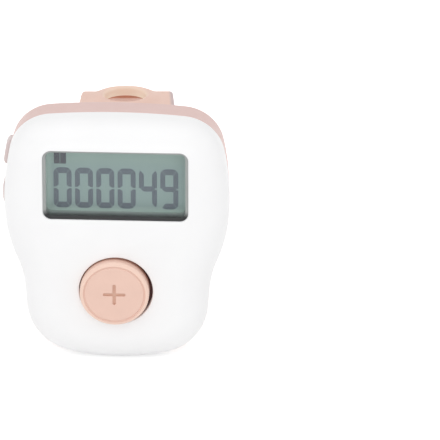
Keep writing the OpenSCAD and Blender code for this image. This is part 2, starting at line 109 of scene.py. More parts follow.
# Display: its window, film, figures and battery sign.
WINDOW_W, WINDOW_H, WINDOW_R, WINDOW_STEPS = 21.9, 11.4, 1.3, 10
WINDOW_DROP, WINDOW_PLAY, WINDOW_SUNK, WINDOW_FLANGE_T = 9.75, 0.04, 0.15, 0.8
WINDOW_Y = BODY_H / 2 - WINDOW_DROP
WINDOW_TOP = FRONT_D - WINDOW_SUNK
WINDOW_BOTTOM = FRONT_IN - WINDOW_FLANGE_T
BORDER_W, BORDER_LAND, BORDER_BEVEL = 0.4, 0.04, 0.4
BEVEL_LOW = WINDOW_TOP - BORDER_BEVEL
PANE_SUNK, PANE_GAP = 0.65, 0.01
GLASS_W, GLASS_H, GLASS_DROP = 22.9, 12.6, 0.25
FILM_GAP, INK_T = 0.1, 0.02
FILM_TOP = WINDOW_BOTTOM - FILM_GAP
FIGURES_X, FIGURES_Y = -0.03, 8.81
FIGURE_R, FIGURE_WAIST, FIGURE_GAP, FIGURE_STEPS = 0.95, 0.13, 0.02, 4
TOP_MITRE, SIDE_MITRE, MIDDLE_SHARE = 47.0, 43.0, 0.44
BATTERY_X, BATTERY_Y, BATTERY_W, BATTERY_H, BATTERY_BAR = -8.43, 12.8, 1.84, 2.6, 0.89

# Count button.
BUTTON_X, BUTTON_Y = -0.19, 12.7 - BODY_H / 2
BUTTON_R, BUTTON_HOLE_R, BUTTON_PROUD = 5.26, 5.58, 1.3
BUTTON_TOP = FRONT_D + BUTTON_PROUD
BUTTON_FLANGE_R, BUTTON_FLANGE_TOP, BUTTON_FLANGE_LOW = 6.1, FRONT_IN - 0.15, FRONT_IN - 0.8
BUTTON_STEM_R, BUTTON_STEM_LOW = 1.5, 2.9
BUTTON_STEPS, HOLE_STEPS, EDGE_STEPS = 144, 128, 10
RING_OUT, RING_W, RING_D, RING_STEPS = 0.06, 0.2, 0.14, 8
PLUS_W, PLUS_D, PLUS_ROUND, PLUS_STEPS, PLUS_SLACK = 0.5, 0.2, 0.45, 6, 0.1
# Share of the button edge's depth that carries the painted highlight.
RIM_HIGHLIGHT_SHARE = 0.9

# Side keys.
Key = namedtuple("Key", "top length proud inner")
KEYS = {
    "reset_key": Key(top=BODY_H / 2 - 5.35, length=4.0, proud=0.57, inner=3.6 - BODY_W / 2),
    "power_key": Key(top=BODY_H / 2 - 12.2, length=3.8, proud=0.36, inner=2.1 - BODY_W / 2),
}
KEY_Z, KEY_T, KEY_PLAY, KEY_END_R, KEY_BEVEL = -1.6, 1.8, 0.15, 1.0, 0.15
KEY_FLANGE, KEY_FLANGE_T, KEY_FLANGE_INSET = 0.6, 0.6, 1.75
KEY_SLOT_R, KEY_SLOT_STEPS, KEY_SLOT_ENDS = 0.35, 6, (-2.0, 4.0)

# Charging port in the bottom wall, and the contacts on its socket's tongue.
PORT_W, PORT_T, PORT_R, PORT_Z, PORT_STEPS, PORT_OUT = 7.9, 2.4, 0.6, -1.45, 8, 2.0
SOCKET_MOUTH = 2.0 - BODY_H / 2
TONGUE_BACK, TONGUE_FACE_Z = SOCKET_MOUTH + 5.1, -1.75
CONTACT_PITCH, CONTACT_W, CONTACT_LEN, CONTACT_T, CONTACT_END = 0.65, 0.35, 3.2, 0.08, 0.4
CONTACT_PLACES = range(-2, 3)

# Case screws, and the posts and tubes that hold them.
SCREW_SPOTS = [
    (BODY_W / 2 - 4, 1.0),
    (4 - BODY_W / 2, 1.0),
    (BODY_W / 2 - 7.8, 5.6 - BODY_H / 2),
    (7.8 - BODY_W / 2, 5.6 - BODY_H / 2),
]
SCREW_SEAT, SCREW_SINK_R, SCREW_HOLE_R = -3.0, 1.5, 0.8
SCREW_HEAD_R, SCREW_HEAD_T, SCREW_CROWN, SCREW_SHANK_R, SCREW_SHANK_LEN = 1.35, 0.9, 0.86, 0.65, 6.0
SCREW_SLOT_LEN, SCREW_SLOT_W, SCREW_SLOT_D = 1.6, 0.36, 0.45
HEAD_STEPS, HEAD_RINGS, SHANK_STEPS = 48, 3, 24
POST_R, POST_TOP, PILOT_R, PILOT_TOP = 1.7, 4.3, 0.7, 3.4
TUBE_R, TUBE_GAP = 2.0, 0.05

# Bosses for the board's screws and the guide round the button.
BOSS_SPOTS = [(BODY_W / 2 - 6.6, 14.8 - BODY_H / 2), (6.6 - BODY_W / 2, 14.8 - BODY_H / 2)]
BOSS_R, BOSS_LOW, BOSS_PILOT_R, BOSS_PILOT_TOP = 1.3, 0.6, 0.5, 3.0
GUIDE_IN_R, GUIDE_OUT_R, GUIDE_LOW = 6.45, 7.2, 2.5

# Finger band and its eyelet: u runs from the case's back to the rear.
BAND_X, BAND_Y = 1.1, BODY_H / 2 - 13.9
BAND_W, BAND_T, BAND_REACH, BAND_H, BAND_STEP = 15.0, 1.0, 13.0, 23.2, 0.25
BAND_SLOPE, BAND_FOOT_R, BAND_BACK_R = 6.5, 2.0, 5.0
BAND_TAPER, BAND_EDGE, BAND_EDGE_W, BAND_SKEW, BAND_ROLL = 0.1, 0.45, 0.55, 0.037, 0.023
BAND_EDGE_STEPS, LEAST_ARC_STEPS, LEAST_RUN_STEPS = 5, 6, 2
EYELET_X, EYELET_U, EYELET_R, EYELET_STEPS = 0.85, 6.4, 3.1, 128
EYELET_LIP, EYELET_BACK, EYELET_CREST_R, EYELET_BASE_R = 0.66, 0.22, 3.35, 5.85
EYELET_FLOOR, EYELET_RECESS, EYELET_SHADE = 0.72, 0.4, 1.3
EYELET_FLARE, EYELET_FLARE_STEPS, EYELET_SHARP = 0.6, 8, 0.03
STUD_SPOTS = [(BAND_X, BAND_Y + 8.2), (BAND_X, BAND_Y - 8.2)]
STUD_R, STUD_HOLE_R, STUD_HEAD_R, STUD_HEAD_T = 1.2, 1.25, 1.9, 1.0

# How the band's painted light on the eyelet's wall fades, and how its painted shade fades from the right edge
# inwards.
WALL_LIGHT_TONE, WALL_LIGHT_FADE, WALL_LIGHT_REACH = 0.5, 2.4, 0.5
RIGHT_SHADE_FADE, RIGHT_SHADE_REACH = 3.0, 0.1
BAND_SLACK = 0.015

# How far a cutter passes a face, and the steps of a round bar.
PASS = 1.0
COLUMN_STEPS = 64

# Stage, in metres, apart from the picture in pixels and the camera's sensor in millimetres.
Lamp = namedtuple("Lamp", "name size spot")
KEY_LAMP = Lamp("key_lamp", 1.0, (-0.1, -0.45, 0.9))
FILL_LAMP = Lamp("fill_lamp", 0.6, (0.0, -0.8, 0.05))
FLOOR_HALF, FLOOR_TONE, FLOOR_ROUGH, FLOOR_GLOW = 2.0, 0.9, 0.9, 0.5
PICTURE_SIDE, SENSOR_W, FAR_CLIP = 440, 36.0, 20.0


def length_of(name, description, millimetres):
    """A property for a length."""
    return FloatProperty(name=name, description=description, default=millimetres / MM_PER_M, unit="LENGTH")


def angle_of(name, description, degrees):
    """A property for an angle."""
    return FloatProperty(name=name, description=description, default=math.radians(degrees), subtype="ANGLE")


def colour_of(name, description, colour):
    """A property for a colour, as seen on a screen."""
    return FloatVectorProperty(name=name, description=description, default=colour, subtype="COLOR_GAMMA")


class CounterSizes(bpy.types.PropertyGroup):
    """Fine shapes that the looks add to the solid parts."""

    seam_groove: length_of("Seam groove", "Small bevel on both covers where they meet", 0.1)
    lip: length_of("Opening lip", "Rounding round the display opening and the button hole", 0.15)
    button_edge: length_of("Button edge", "Rounding of the count button's rim", 0.55)
    plus_arm: length_of("Plus sign", "Length of each bar of the plus sign on the count button", 3.4)
    digit_w: length_of("Figure width", "Width of one figure", 2.72)
    digit_h: length_of("Figure height", "Height of one figure", 6.72)
    digit_pitch: length_of("Figure pitch", "Step from one figure to the next", 3.213)
    digit_upright: length_of("Figure uprights", "Width of a figure's upright bars", 0.75)
    digit_level: length_of("Figure levels", "Height of a figure's level bars", 0.97)
    count: StringProperty(name="Count", description="Number that the display shows", default="000049")
    smoothness: IntProperty(
        name="Smoothness", description="Steps in each curve of the case", default=6, min=2, max=12
    )


class CounterColours(bpy.types.PropertyGroup):
    """Colours of the visible pieces, as seen on a screen."""

    cover: colour_of("Front cover", "White plastic", (0.972, 0.972, 0.974))
    case: colour_of("Back cover", "Dusty pink plastic", (0.888, 0.769, 0.745))
    side_keys: colour_of("Side keys", "Pink plastic", (0.875, 0.825, 0.82))
    button: colour_of("Count button", "Peach plastic", (0.923, 0.78, 0.718))
    # Painted highlight: the round edge of the face is painted lighter than the face.
    button_rim_highlight: colour_of("Button rim", "Round edge of the face", (0.955, 0.825, 0.76))
    # Painted shade: the button's side and foot turn nearly black where they sink into the gap round the cap.
    button_side_shade: colour_of("Button side", "Side under the face", (0.82, 0.59, 0.5))
    button_foot_shade: colour_of("Button foot", "Foot in the shade", (0.36, 0.12, 0.1))
    # Painted shade: the floor of the pressed sign is painted darker than the face.
    button_sign_shade: colour_of("Button sign", "Pressed sign", (0.84, 0.67, 0.59))
    film: colour_of("Display film", "Grey-green film", (0.633, 0.722, 0.698))
    # Painted shade: the film behind the figures is painted darker.
    film_deep_shade: colour_of("Film behind figures", "Deeper film", (0.605, 0.69, 0.68))
    # Painted light: the film near its left, right and lower edges is painted paler.
    film_edge_light: colour_of("Film edge", "Paler film", (0.74, 0.825, 0.795))
    figures: colour_of("Figures", "Dark parts of the display", (0.44, 0.478, 0.515))
    battery: colour_of("Battery sign", "Darkest part of the display", (0.39, 0.4, 0.43))
    border: colour_of("Window border", "Grey plastic", (0.7, 0.71, 0.705))
    # Painted light: the border's inner wall is painted paler than the border itself.
    border_wall_light: colour_of("Border wall", "Inner side of the border", (0.86, 0.89, 0.88))
    # Painted shade: the lower edge of the window border is painted nearly black.
    border_foot_shade: colour_of("Border foot", "Lower edge of the border", (0.205, 0.207, 0.212))
    band: colour_of("Finger band", "Pale pink silicone", (0.934, 0.797, 0.739))
    # Painted light: the eyelet's lip, its wall and the band's inside are painted paler than the band.
    band_lip_light: colour_of("Eyelet lip", "Edge of the eyelet", (0.975, 0.875, 0.805))
    band_wall_light: colour_of("Eyelet wall", "Cut through the silicone", (1.0, 0.93, 0.85))
    band_inside_light: colour_of("Band inside", "Inner side of the silicone", (1.0, 0.91, 0.87))
    band_shade: colour_of("Eyelet shade", "Under the eyelet", (0.86, 0.62, 0.52))
    # Painted shade: the band's right edge is painted greyer and darker.
    band_side_shade: colour_of("Band side", "Right edge of the band", (0.8, 0.715, 0.71))


class CounterStage(bpy.types.PropertyGroup):
    """Camera and light."""

    azimuth: angle_of("Azimuth", "Camera's angle to the right", 2.55)
    elevation: angle_of("Elevation", "Camera's angle above the face", 26.59)
    distance: length_of("Distance", "From the camera to the case", 1200.0)
    aim_right: length_of("Aim right", "Picture's middle, right of the case", 15.47)
    aim_up: length_of("Aim up", "Picture's middle, above the case's middle", 1.64)
    pixels_per_mm: FloatProperty(
        name="Scale", description="Pixels of the picture for each millimetre", default=6.61
    )
    sky: FloatProperty(name="Sky light", description="Strength of the even light all round", default=0.818)
    key_light: FloatProperty(name="Key light", description="Power of the large lamp above", default=1.7)
    fill_light: FloatProperty(name="Fill light", description="Power of the lamp in front", default=1.08)


def in_mm(metres):
    """A length of the frame in millimetres."""
    return metres * MM_PER_M


def place(point):
    """A point of the face's own axes (right, up, out), in mm, moved into the frame, in metres."""
    x, y, z = point
    return Vector((x, SEAM - z, y + MIDDLE)) / MM_PER_M


def across(x):
    """Where a place across the face lies on the frame's X."""
    return place((x, 0, 0)).x


def upwards(y):
    """Where a place up the face lies on the frame's Z."""
    return place((0, y, 0)).z


def inwards(z):
    """Where a height out of the face lies on the frame's Y."""
    return place((0, 0, z)).y


def clamp(value):
    """A value held between nought and one."""
    return min(1.0, max(0.0, value))


def rgba(colour):
    """A screen colour as the light values that shaders take."""
    return (*(c / 12.92 if c <= 0.04045 else ((c + 0.055) / 1.055) ** 2.4 for c in colour), 1.0)


def sin_deg(angle):
    """Sine of an angle in degrees."""
    return math.sin(math.radians(angle))


def cos_deg(angle):
    """Cosine of an angle in degrees."""
    return math.cos(math.radians(angle))


def quarter(steps, first=1):
    """Sine and cosine at even steps through a quarter turn."""
    angles = [QUARTER_TURN * i / steps for i in range(first, steps + 1)]
    return [(sin_deg(a), cos_deg(a)) for a in angles]


def stride(radius, start, end):
    """Move along an arc of signed radius from one heading to another."""
    return Vector((radius * (sin_deg(end) - sin_deg(start)), radius * (cos_deg(end) - cos_deg(start))))


def outline_plan():
    """The outline's arcs and the straight length under the waist, as the solid parts have them."""
    crown_reach = BODY_W / 2 - SIDE_R - (CORNER_R - SIDE_R) * sin_deg(CORNER_TURN)
    crown_turn = math.degrees(math.asin(crown_reach / (CROWN_R - CORNER_R)))
    upper = [
        (CROWN_R, 0.0, crown_turn, CROWN_STEPS),
        (CORNER_R, crown_turn, CORNER_TURN, CORNER_STEPS),
        (SIDE_R, CORNER_TURN, SIDE_TURN, SIDE_STEPS),
        (SHOULDER_R, SIDE_TURN, SHOULDER_TURN, SHOULDER_STEPS),
        (-WAIST_R, SHOULDER_TURN, WAIST_TURN, WAIST_STEPS),
    ]
    waist_end = Vector((0.0, BODY_H / 2))
    for radius, start, end, _ in upper:
        waist_end += stride(radius, start, end)
    foot = waist_end + stride(FOOT_R, WAIST_TURN, FOOT_TURN)
    slope = math.tan(math.radians((HALF_TURN - FOOT_TURN) / 2))
    lobe = (foot.y - foot.x * slope + BODY_H / 2) / (sin_deg(WAIST_TURN) + cos_deg(WAIST_TURN) * slope)
    sole_r = (foot.x + lobe * cos_deg(WAIST_TURN)) / sin_deg(HALF_TURN - FOOT_TURN)
    lower = [(FOOT_R, WAIST_TURN, FOOT_TURN, FOOT_STEPS), (sole_r, FOOT_TURN, HALF_TURN, SOLE_STEPS)]
    return upper, lobe, lower


PLAN = outline_plan()


def outline(inset, detail):
    """The case outline, moved inwards, clockwise from the top centre."""
    upper, lobe, lower = PLAN
    points = [Vector((0.0, BODY_H / 2 - inset))]

    def follow(arcs):
        for radius, start, end, steps in arcs:
            origin = points[-1].copy()
            count = steps * detail
            for i in range(1, count + 1):
                heading = start + (end - start) * i / count
                points.append(origin + stride(radius - inset, start, heading))

    follow(upper)
    down = Vector((cos_deg(WAIST_TURN), -sin_deg(WAIST_TURN))) * lobe
    origin = points[-1].copy()
    points += [origin + down * i / detail for i in range(1, detail + 1)]
    follow(lower)
    points[-1].x = 0.0
    return points + [Vector((-p.x, p.y)) for p in reversed(points[1:-1])]


def round_rect(width, height, radius, steps):
    """A rounded rectangle about the origin, clockwise."""
    points = []
    for corner, (sx, sy) in enumerate(((1, 1), (1, -1), (-1, -1), (-1, 1))):
        x, y = sx * (width / 2 - radius), sy * (height / 2 - radius)
        for k in range(steps + 1):
            angle = QUARTER_TURN - QUARTER_TURN * corner - QUARTER_TURN * k / steps
            points.append((x + radius * cos_deg(angle), y + radius * sin_deg(angle)))
    return points


def circle(radius, steps):
    """A circle about the origin, clockwise."""
    angles = [FULL_TURN * i / steps for i in range(steps)]
    return [(radius * sin_deg(a), radius * cos_deg(a)) for a in angles]


def level(ring, spot, z):
    """A flat ring moved to a spot of the face's plane, at a height."""
    return [(spot[0] + a, spot[1] + b, z) for a, b in ring]


def bridged(loops, closed=False):
    """Quads between loops of equal length, with a cap on each end unless they close on themselves."""
    count = len(loops[0])
    rows = len(loops)
    faces = []
    for k in range(rows if closed else rows - 1):
        a, b = k * count, (k + 1) % rows * count
        for i in range(count):
            j = (i + 1) % count
            faces.append((a + i, a + j, b + j, b + i))
    if not closed:
        faces.append(tuple(reversed(range(count))))
        faces.append(tuple(range((rows - 1) * count, rows * count)))
    return faces


def new_object(name, verts, faces):
    """A mesh object from points in the face's own axes, with its faces turned outwards."""
    mesh = bpy.data.meshes.new(name)
    mesh.from_pydata([place(v) for v in verts], [], faces)
    obj = bpy.data.objects.new(name, mesh)
    bpy.context.scene.collection.objects.link(obj)
    turn_outwards(mesh)
    return obj


def turn_outwards(mesh):
    """Merges doubled points and points every face outwards."""
    nearest = 1e-7
    shape = bmesh.new()
    shape.from_mesh(mesh)
    bmesh.ops.remove_doubles(shape, verts=shape.verts, dist=nearest)
    bmesh.ops.recalc_face_normals(shape, faces=shape.faces)
    shape.to_mesh(mesh)
    shape.free()


def loft(name, loops, closed=False):
    """A closed solid through loops of points."""
    return new_object(name, [p for loop in loops for p in loop], bridged(loops, closed))


def shell(name, rings, detail):
    """A solid through the case outline at each inset and height."""
    return loft(name, [[(*p, z) for p in outline(inset, detail)] for inset, z in rings])


def column(spot, radius, low, high):
    """A round bar that stands on a spot of the face's plane, between two heights."""
    return loft("column", [level(circle(radius, COLUMN_STEPS), spot, z) for z in (low, high)])


def baked(obj):
    """Turns the object's modifiers into plain mesh."""
    depsgraph = bpy.context.evaluated_depsgraph_get()
    mesh = bpy.data.meshes.new_from_object(obj.evaluated_get(depsgraph))
    obj.modifiers.clear()
    old = obj.data
    obj.data = mesh
    mesh.name = obj.name
    bpy.data.meshes.remove(old)
    return obj


def discard(obj):
    """Deletes an object and its mesh."""
    mesh = obj.data
    bpy.data.objects.remove(obj)
    bpy.data.meshes.remove(mesh)


def combined(obj, tools, operation):
    """Adds the tools to the object or takes them out of it, and deletes them."""
    for tool in tools:
        modifier = obj.modifiers.new("boolean", "BOOLEAN")
        modifier.operation = operation
        modifier.solver = "EXACT"
        modifier.object = tool
    baked(obj)
    for tool in tools:
        discard(tool)
    return obj


def cut(obj, tools):
    """Takes the tools out of the object."""
    return combined(obj, tools, "DIFFERENCE")


def joined(obj, tools):
    """Adds the tools to the object."""
    return combined(obj, tools, "UNION")


def bevelled(obj, width, segments=3, angle=40.0):
    """Rounds the object's sharp edges."""
    modifier = obj.modifiers.new("edges", "BEVEL")
    modifier.width = width / MM_PER_M
    modifier.segments = segments
    modifier.limit_method = "ANGLE"
    modifier.angle_limit = math.radians(angle)
    return baked(obj)


def merged(obj, other):
    """Adds another object's shells and materials to an object and deletes the other."""
    shift = len(obj.data.materials)
    for material in other.data.materials:
        obj.data.materials.append(material)
    shape = bmesh.new()
    shape.from_mesh(other.data)
    for face in shape.faces:
        face.material_index += shift
    shape.from_mesh(obj.data)
    shape.to_mesh(obj.data)
    shape.free()
    discard(other)
    return obj


def note(mesh, name, values):
    """Writes a value on each point of a mesh, for a material to read."""
    mesh.attributes.new(name, "FLOAT", "POINT").data.foreach_set("value", values)


def finish_piece(obj, body, material, nodes=(), angle=32.0):
    """Gives a piece its material and smooth shading, hangs it on its body and hides the solid parts that it
    stands for.
    """
    if material is not None:
        obj.data.materials.clear()
        obj.data.materials.append(material)
    obj.data.shade_smooth()
    obj.data.set_sharp_from_angle(angle=math.radians(angle))
    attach(obj, body)
    if nodes:
        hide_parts(*nodes)
    return obj


def add_node(tree, kind, inputs, **settings):
    """A node with its settings and inputs, each set or linked; a list links several to one input."""
    node = tree.nodes.new(kind)
    for key, value in settings.items():
        setattr(node, key, value)
    for key, given in inputs.items():
        for value in given if isinstance(given, list) else [given]:
            if isinstance(value, bpy.types.NodeSocket):
                tree.links.new(value, node.inputs[key])
            else:
                node.inputs[key].default_value = value
    return node


class Shader:
    """A material under construction: a principled shader with patterns on Object coordinates."""

    # Sockets of the mix node when it mixes colours.
    MIX_FACTOR, MIX_FIRST, MIX_SECOND, MIX_RESULT = 0, 6, 7, 2

    def __init__(self, name, colour, roughness, metallic=0.0):
        self.material = bpy.data.materials.new(name)
        self.material.use_nodes = True
        self.tree = self.material.node_tree
        self.surface = self.tree.nodes["Principled BSDF"]
        self.colour = rgba(colour)
        self.set(Base_Color=self.colour, Roughness=roughness, Metallic=metallic)
        self.coords = self.add("ShaderNodeTexCoord", {}).outputs["Object"]

    def add(self, kind, inputs, **settings):
        """A node of this material."""
        return add_node(self.tree, kind, inputs, **settings)

    def feed(self, output, label):
        """Links a value to one of the shader's sockets."""
        self.tree.links.new(output, self.surface.inputs[label])
        return self

    def set(self, **values):
        """Sets sockets of the shader by name, with underscores for spaces."""
        for key, value in values.items():
            self.surface.inputs[key.replace("_", " ")].default_value = value
        return self

    def noise(self, size_mm, detail=3.0):
        """A noise pattern with features of about this size."""
        inputs = {"Vector": self.coords, "Scale": MM_PER_M / size_mm, "Detail": detail}
        return self.add("ShaderNodeTexNoise", inputs).outputs["Fac"]

    def spread(self, value, low, high, start=0.3, end=0.7):
        """Maps a pattern onto a range of values."""
        inputs = {"Value": value, "From Min": start, "From Max": end, "To Min": low, "To Max": high}
        return self.add("ShaderNodeMapRange", inputs).outputs["Result"]

    def along(self, letter, start, end):
        """A value that goes from nought to one along one of the Object coordinates."""
        place_on_axis = self.add("ShaderNodeSeparateXYZ", {"Vector": self.coords}).outputs[letter]
        return self.spread(place_on_axis, 0.0, 1.0, start, end)

    def attribute(self, name):
        """A value that the mesh carries."""
        return self.add("ShaderNodeAttribute", {}, attribute_name=name).outputs["Fac"]

    def ramp(self, value, stops):
        """Screen colours along a value between nought and one."""
        node = self.add("ShaderNodeValToRGB", {"Fac": value})
        elements = node.color_ramp.elements
        while len(elements) < len(stops):
            elements.new(1.0)
        for element, (position, colour) in zip(elements, stops):
            element.position = position
            element.color = rgba(colour)
        return node.outputs["Color"]

    def blend(self, value, *colours):
        """A mix by a value of two colours, each plain or from a pattern."""
        first, second = (c if isinstance(c, bpy.types.NodeSocket) else rgba(c) for c in colours)
        inputs = {self.MIX_FACTOR: value, self.MIX_FIRST: first, self.MIX_SECOND: second}
        return self.add("ShaderNodeMix", inputs, data_type="RGBA").outputs[self.MIX_RESULT]

    def paint(self, colour):
        """Colours the surface by a pattern."""
        self.colour = colour
        return self.feed(colour, "Base Color")

    def mottle(self, size_mm, darkest):
        """Slow change of tone over the surface."""
        tone = self.spread(self.noise(size_mm), darkest, 1.0)
        node = self.add("ShaderNodeHueSaturation", {"Color": self.colour, "Value": tone})
        return self.feed(node.outputs["Color"], "Base Color")

    def polish(self, size_mm, least, most):
        """Roughness that changes over the surface."""
        return self.feed(self.spread(self.noise(size_mm), least, most), "Roughness")

    def grain(self, size_mm, height_mm, strength=0.5):
        """Fine texture of the mould."""
        inputs = {"Strength": strength, "Distance": height_mm / MM_PER_M, "Height": self.noise(size_mm)}
        return self.feed(self.add("ShaderNodeBump", inputs).outputs["Normal"], "Normal")


class CounterOperator:
    """What every piece of the counter shares."""

    bl_options = {"INTERNAL"}

    def execute(self, context):
        self.build(context.scene.counter_sizes, context.scene.counter_colours)
        return {"FINISHED"}


def opening(name, ring_at, spot, lip):
    """A cutter through the face with a flared round lip; ring_at gives its ring at an outward offset."""
    profile = [(0.0, FRONT_IN - PASS)]
    profile += [(lip - lip * c, FRONT_D - lip + lip * s) for s, c in quarter(LIP_STEPS, first=0)]
    profile.append((lip, FRONT_D + PASS))
    return loft(name, [level(ring_at(offset), spot, z) for offset, z in profile])


class COUNTER_OT_front_cover(CounterOperator, bpy.types.Operator):
    """Builds the white front cover with its display opening and button hole"""

    bl_idname = "counter.front_cover"
    bl_label = "Front cover"

    def build(self, sizes, colours):
        groove, lip = in_mm(sizes.seam_groove), in_mm(sizes.lip)
        rings = [
            (STEP_INSET, FRONT_IN),
            (STEP_INSET, STEP_Z),
            (WALL, STEP_Z),
            (WALL, RIM_Z),
            (RIM_INSET, RIM_Z),
            (RIM_INSET, 0.0),
            (groove, 0.0),
            (0.0, groove),
            (0.0, FRONT_SIDE),
        ]
        rise = FRONT_D - FRONT_SIDE
        rings += [(FRONT_ROUND * (1 - c), FRONT_SIDE + rise * s) for s, c in quarter(FRONT_STEPS)]
        cover = shell("white_front_cover", rings, sizes.smoothness)

        def window_ring(offset):
            return round_rect(WINDOW_W + 2 * offset, WINDOW_H + 2 * offset, WINDOW_R + offset, WINDOW_STEPS)

        def button_ring(offset):
            return circle(BUTTON_HOLE_R + offset, HOLE_STEPS)

        window, button = (0.0, WINDOW_Y), (0.0, BUTTON_Y)
        inner = [column(spot, POST_R, 0.0, POST_TOP) for spot in SCREW_SPOTS]
        inner += [column(spot, BOSS_R, BOSS_LOW, POST_TOP) for spot in BOSS_SPOTS]
        inner.append(column(button, GUIDE_OUT_R, GUIDE_LOW, POST_TOP))
        joined(cover, inner)
        holes = [opening("window_cutter", window_ring, window, lip)]
        holes.append(opening("button_cutter", button_ring, button, lip))
        holes.append(column(button, GUIDE_IN_R, GUIDE_LOW - PASS, FRONT_IN))
        holes += [column(spot, PILOT_R, -PASS, PILOT_TOP) for spot in SCREW_SPOTS]
        holes += [column(spot, BOSS_PILOT_R, BOSS_LOW - PASS, BOSS_PILOT_TOP) for spot in BOSS_SPOTS]
        cut(cover, holes)
        shader = Shader("white_cover_plastic", colours.cover, roughness=0.34).set(Specular_IOR_Level=0.4)
        shader.mottle(size_mm=6.0, darkest=0.985).polish(size_mm=1.5, least=0.3, most=0.4)
        shader.grain(size_mm=0.25, height_mm=0.004)
        finish_piece(cover, "housing", shader.material, ("front_cover",))


class COUNTER_OT_back_cover(CounterOperator, bpy.types.Operator):
    """Builds the pink back cover with its key slots, charging port and screw wells"""

    bl_idname = "counter.back_cover"
    bl_label = "Back cover"

    def build(self, sizes, colours):
        groove, round_z = in_mm(sizes.seam_groove), REAR_RISE - BACK_D
        rings = [
            (WALL, REAR_IN),
            (WALL, TONGUE_Z),
            (TONGUE_INSET, TONGUE_Z),
            (TONGUE_INSET, 0.0),
            (groove, 0.0),
            (0.0, -groove),
            (REAR_DRAFT, round_z),
        ]
        for s, c in quarter(REAR_STEPS):
            rings.append((REAR_DRAFT + REAR_ROUND * (1 - c), round_z - REAR_RISE * s))
        cover = shell("pink_back_cover", rings, sizes.smoothness)
        joined(cover, [column(spot, TUBE_R, REAR_IN - TUBE_GAP, -TUBE_GAP) for spot in SCREW_SPOTS])
        rear = -BACK_D - PASS
        cutters = [self.key_slot(name, key) for name, key in KEYS.items()]
        cutters.append(self.port())
        cutters += [column(spot, SCREW_SINK_R, rear, SCREW_SEAT) for spot in SCREW_SPOTS]
        cutters += [column(spot, SCREW_HOLE_R, rear, PASS) for spot in SCREW_SPOTS]
        cutters += [column(spot, STUD_HOLE_R, rear, REAR_IN + PASS) for spot in STUD_SPOTS]
        cut(cover, cutters)
        shader = Shader("pink_case_plastic", colours.case, roughness=0.42)
        shader.mottle(size_mm=5.0, darkest=0.97).polish(size_mm=1.2, least=0.36, most=0.5)
        shader.grain(size_mm=0.2, height_mm=0.006)
        finish_piece(cover, "housing", shader.material, ("back_cover",))

    def key_slot(self, name, key):
        """A cutter for a side key's slot in the left wall."""
        ring = round_rect(key.length + 2 * KEY_PLAY, KEY_T + 2 * KEY_PLAY, KEY_SLOT_R, KEY_SLOT_STEPS)
        middle, loops = key.top - key.length / 2, []
        for end in KEY_SLOT_ENDS:
            loops.append([(end - BODY_W / 2, middle + a, KEY_Z + b) for a, b in ring])
        return loft(name + "_cutter", loops)

    def port(self):
        """A cutter for the charging port in the bottom wall."""
        ring = round_rect(PORT_W, PORT_T, PORT_R, PORT_STEPS)
        ends = (SOCKET_MOUTH, -BODY_H / 2 - PORT_OUT)
        return loft("port_cutter", [[(a, y, PORT_Z + b) for a, b in ring] for y in ends])


# Bars of each figure: a is the top, b to f go on clockwise round it, and g is the middle.
SEGMENTS = {
    "0": "abcdef",
    "1": "bc",
    "2": "abged",
    "3": "abgcd",
    "4": "fgbc",
    "5": "afgcd",
    "6": "afgedc",
    "7": "abc",
    "8": "abcdefg",
    "9": "abcdfg",
}


def flipped(points, right, up):
    """Flat points turned over where a factor is minus one."""
    return [(right * x, up * y) for x, y in points]


def figure_bars(width, height, upright, level_bar):
    """The seven bars of a figure as polygons, about the figure's centre."""
    w, h = width / 2, height / 2
    half_level = level_bar * MIDDLE_SHARE

    def corner(start, end):
        """Points of the upper right corner's round, between two headings from the right."""
        angles = [start + (end - start) * k / FIGURE_STEPS for k in range(FIGURE_STEPS + 1)]
        x, y = w - FIGURE_R, h - FIGURE_R
        return [(x + FIGURE_R * cos_deg(a), y + FIGURE_R * sin_deg(a)) for a in angles]

    right = corner(QUARTER_TURN, TOP_MITRE)
    top = flipped(reversed(right), -1, 1) + right
    top += [(w - upright - FIGURE_GAP, h - level_bar), (FIGURE_GAP + upright - w, h - level_bar)]
    side = corner(SIDE_MITRE, 0.0) + [(w, FIGURE_WAIST), (w - upright / 2, FIGURE_WAIST)]
    side += [(w - upright, half_level + FIGURE_GAP), (w - upright, h - level_bar - FIGURE_GAP)]
    middle = [(w - upright, half_level), (w - upright / 3, 0.0), (w - upright, -half_level)]
    middle += flipped(reversed(middle), -1, 1)
    return {
        "a": top,
        "b": side,
        "c": flipped(side, 1, -1),
        "d": flipped(top, 1, -1),
        "e": flipped(side, -1, -1),
        "f": flipped(side, -1, 1),
        "g": middle,
    }


def battery_bars():
    """A plain battery sign: two bars side by side, as polygons."""
    left, low, high = BATTERY_X - BATTERY_W / 2, BATTERY_Y, BATTERY_Y + BATTERY_H
    bars = []
    for start in (left, left + BATTERY_W - BATTERY_BAR):
        end = start + BATTERY_BAR
        bars.append([(start, low), (start, high), (end, high), (end, low)])
    return bars


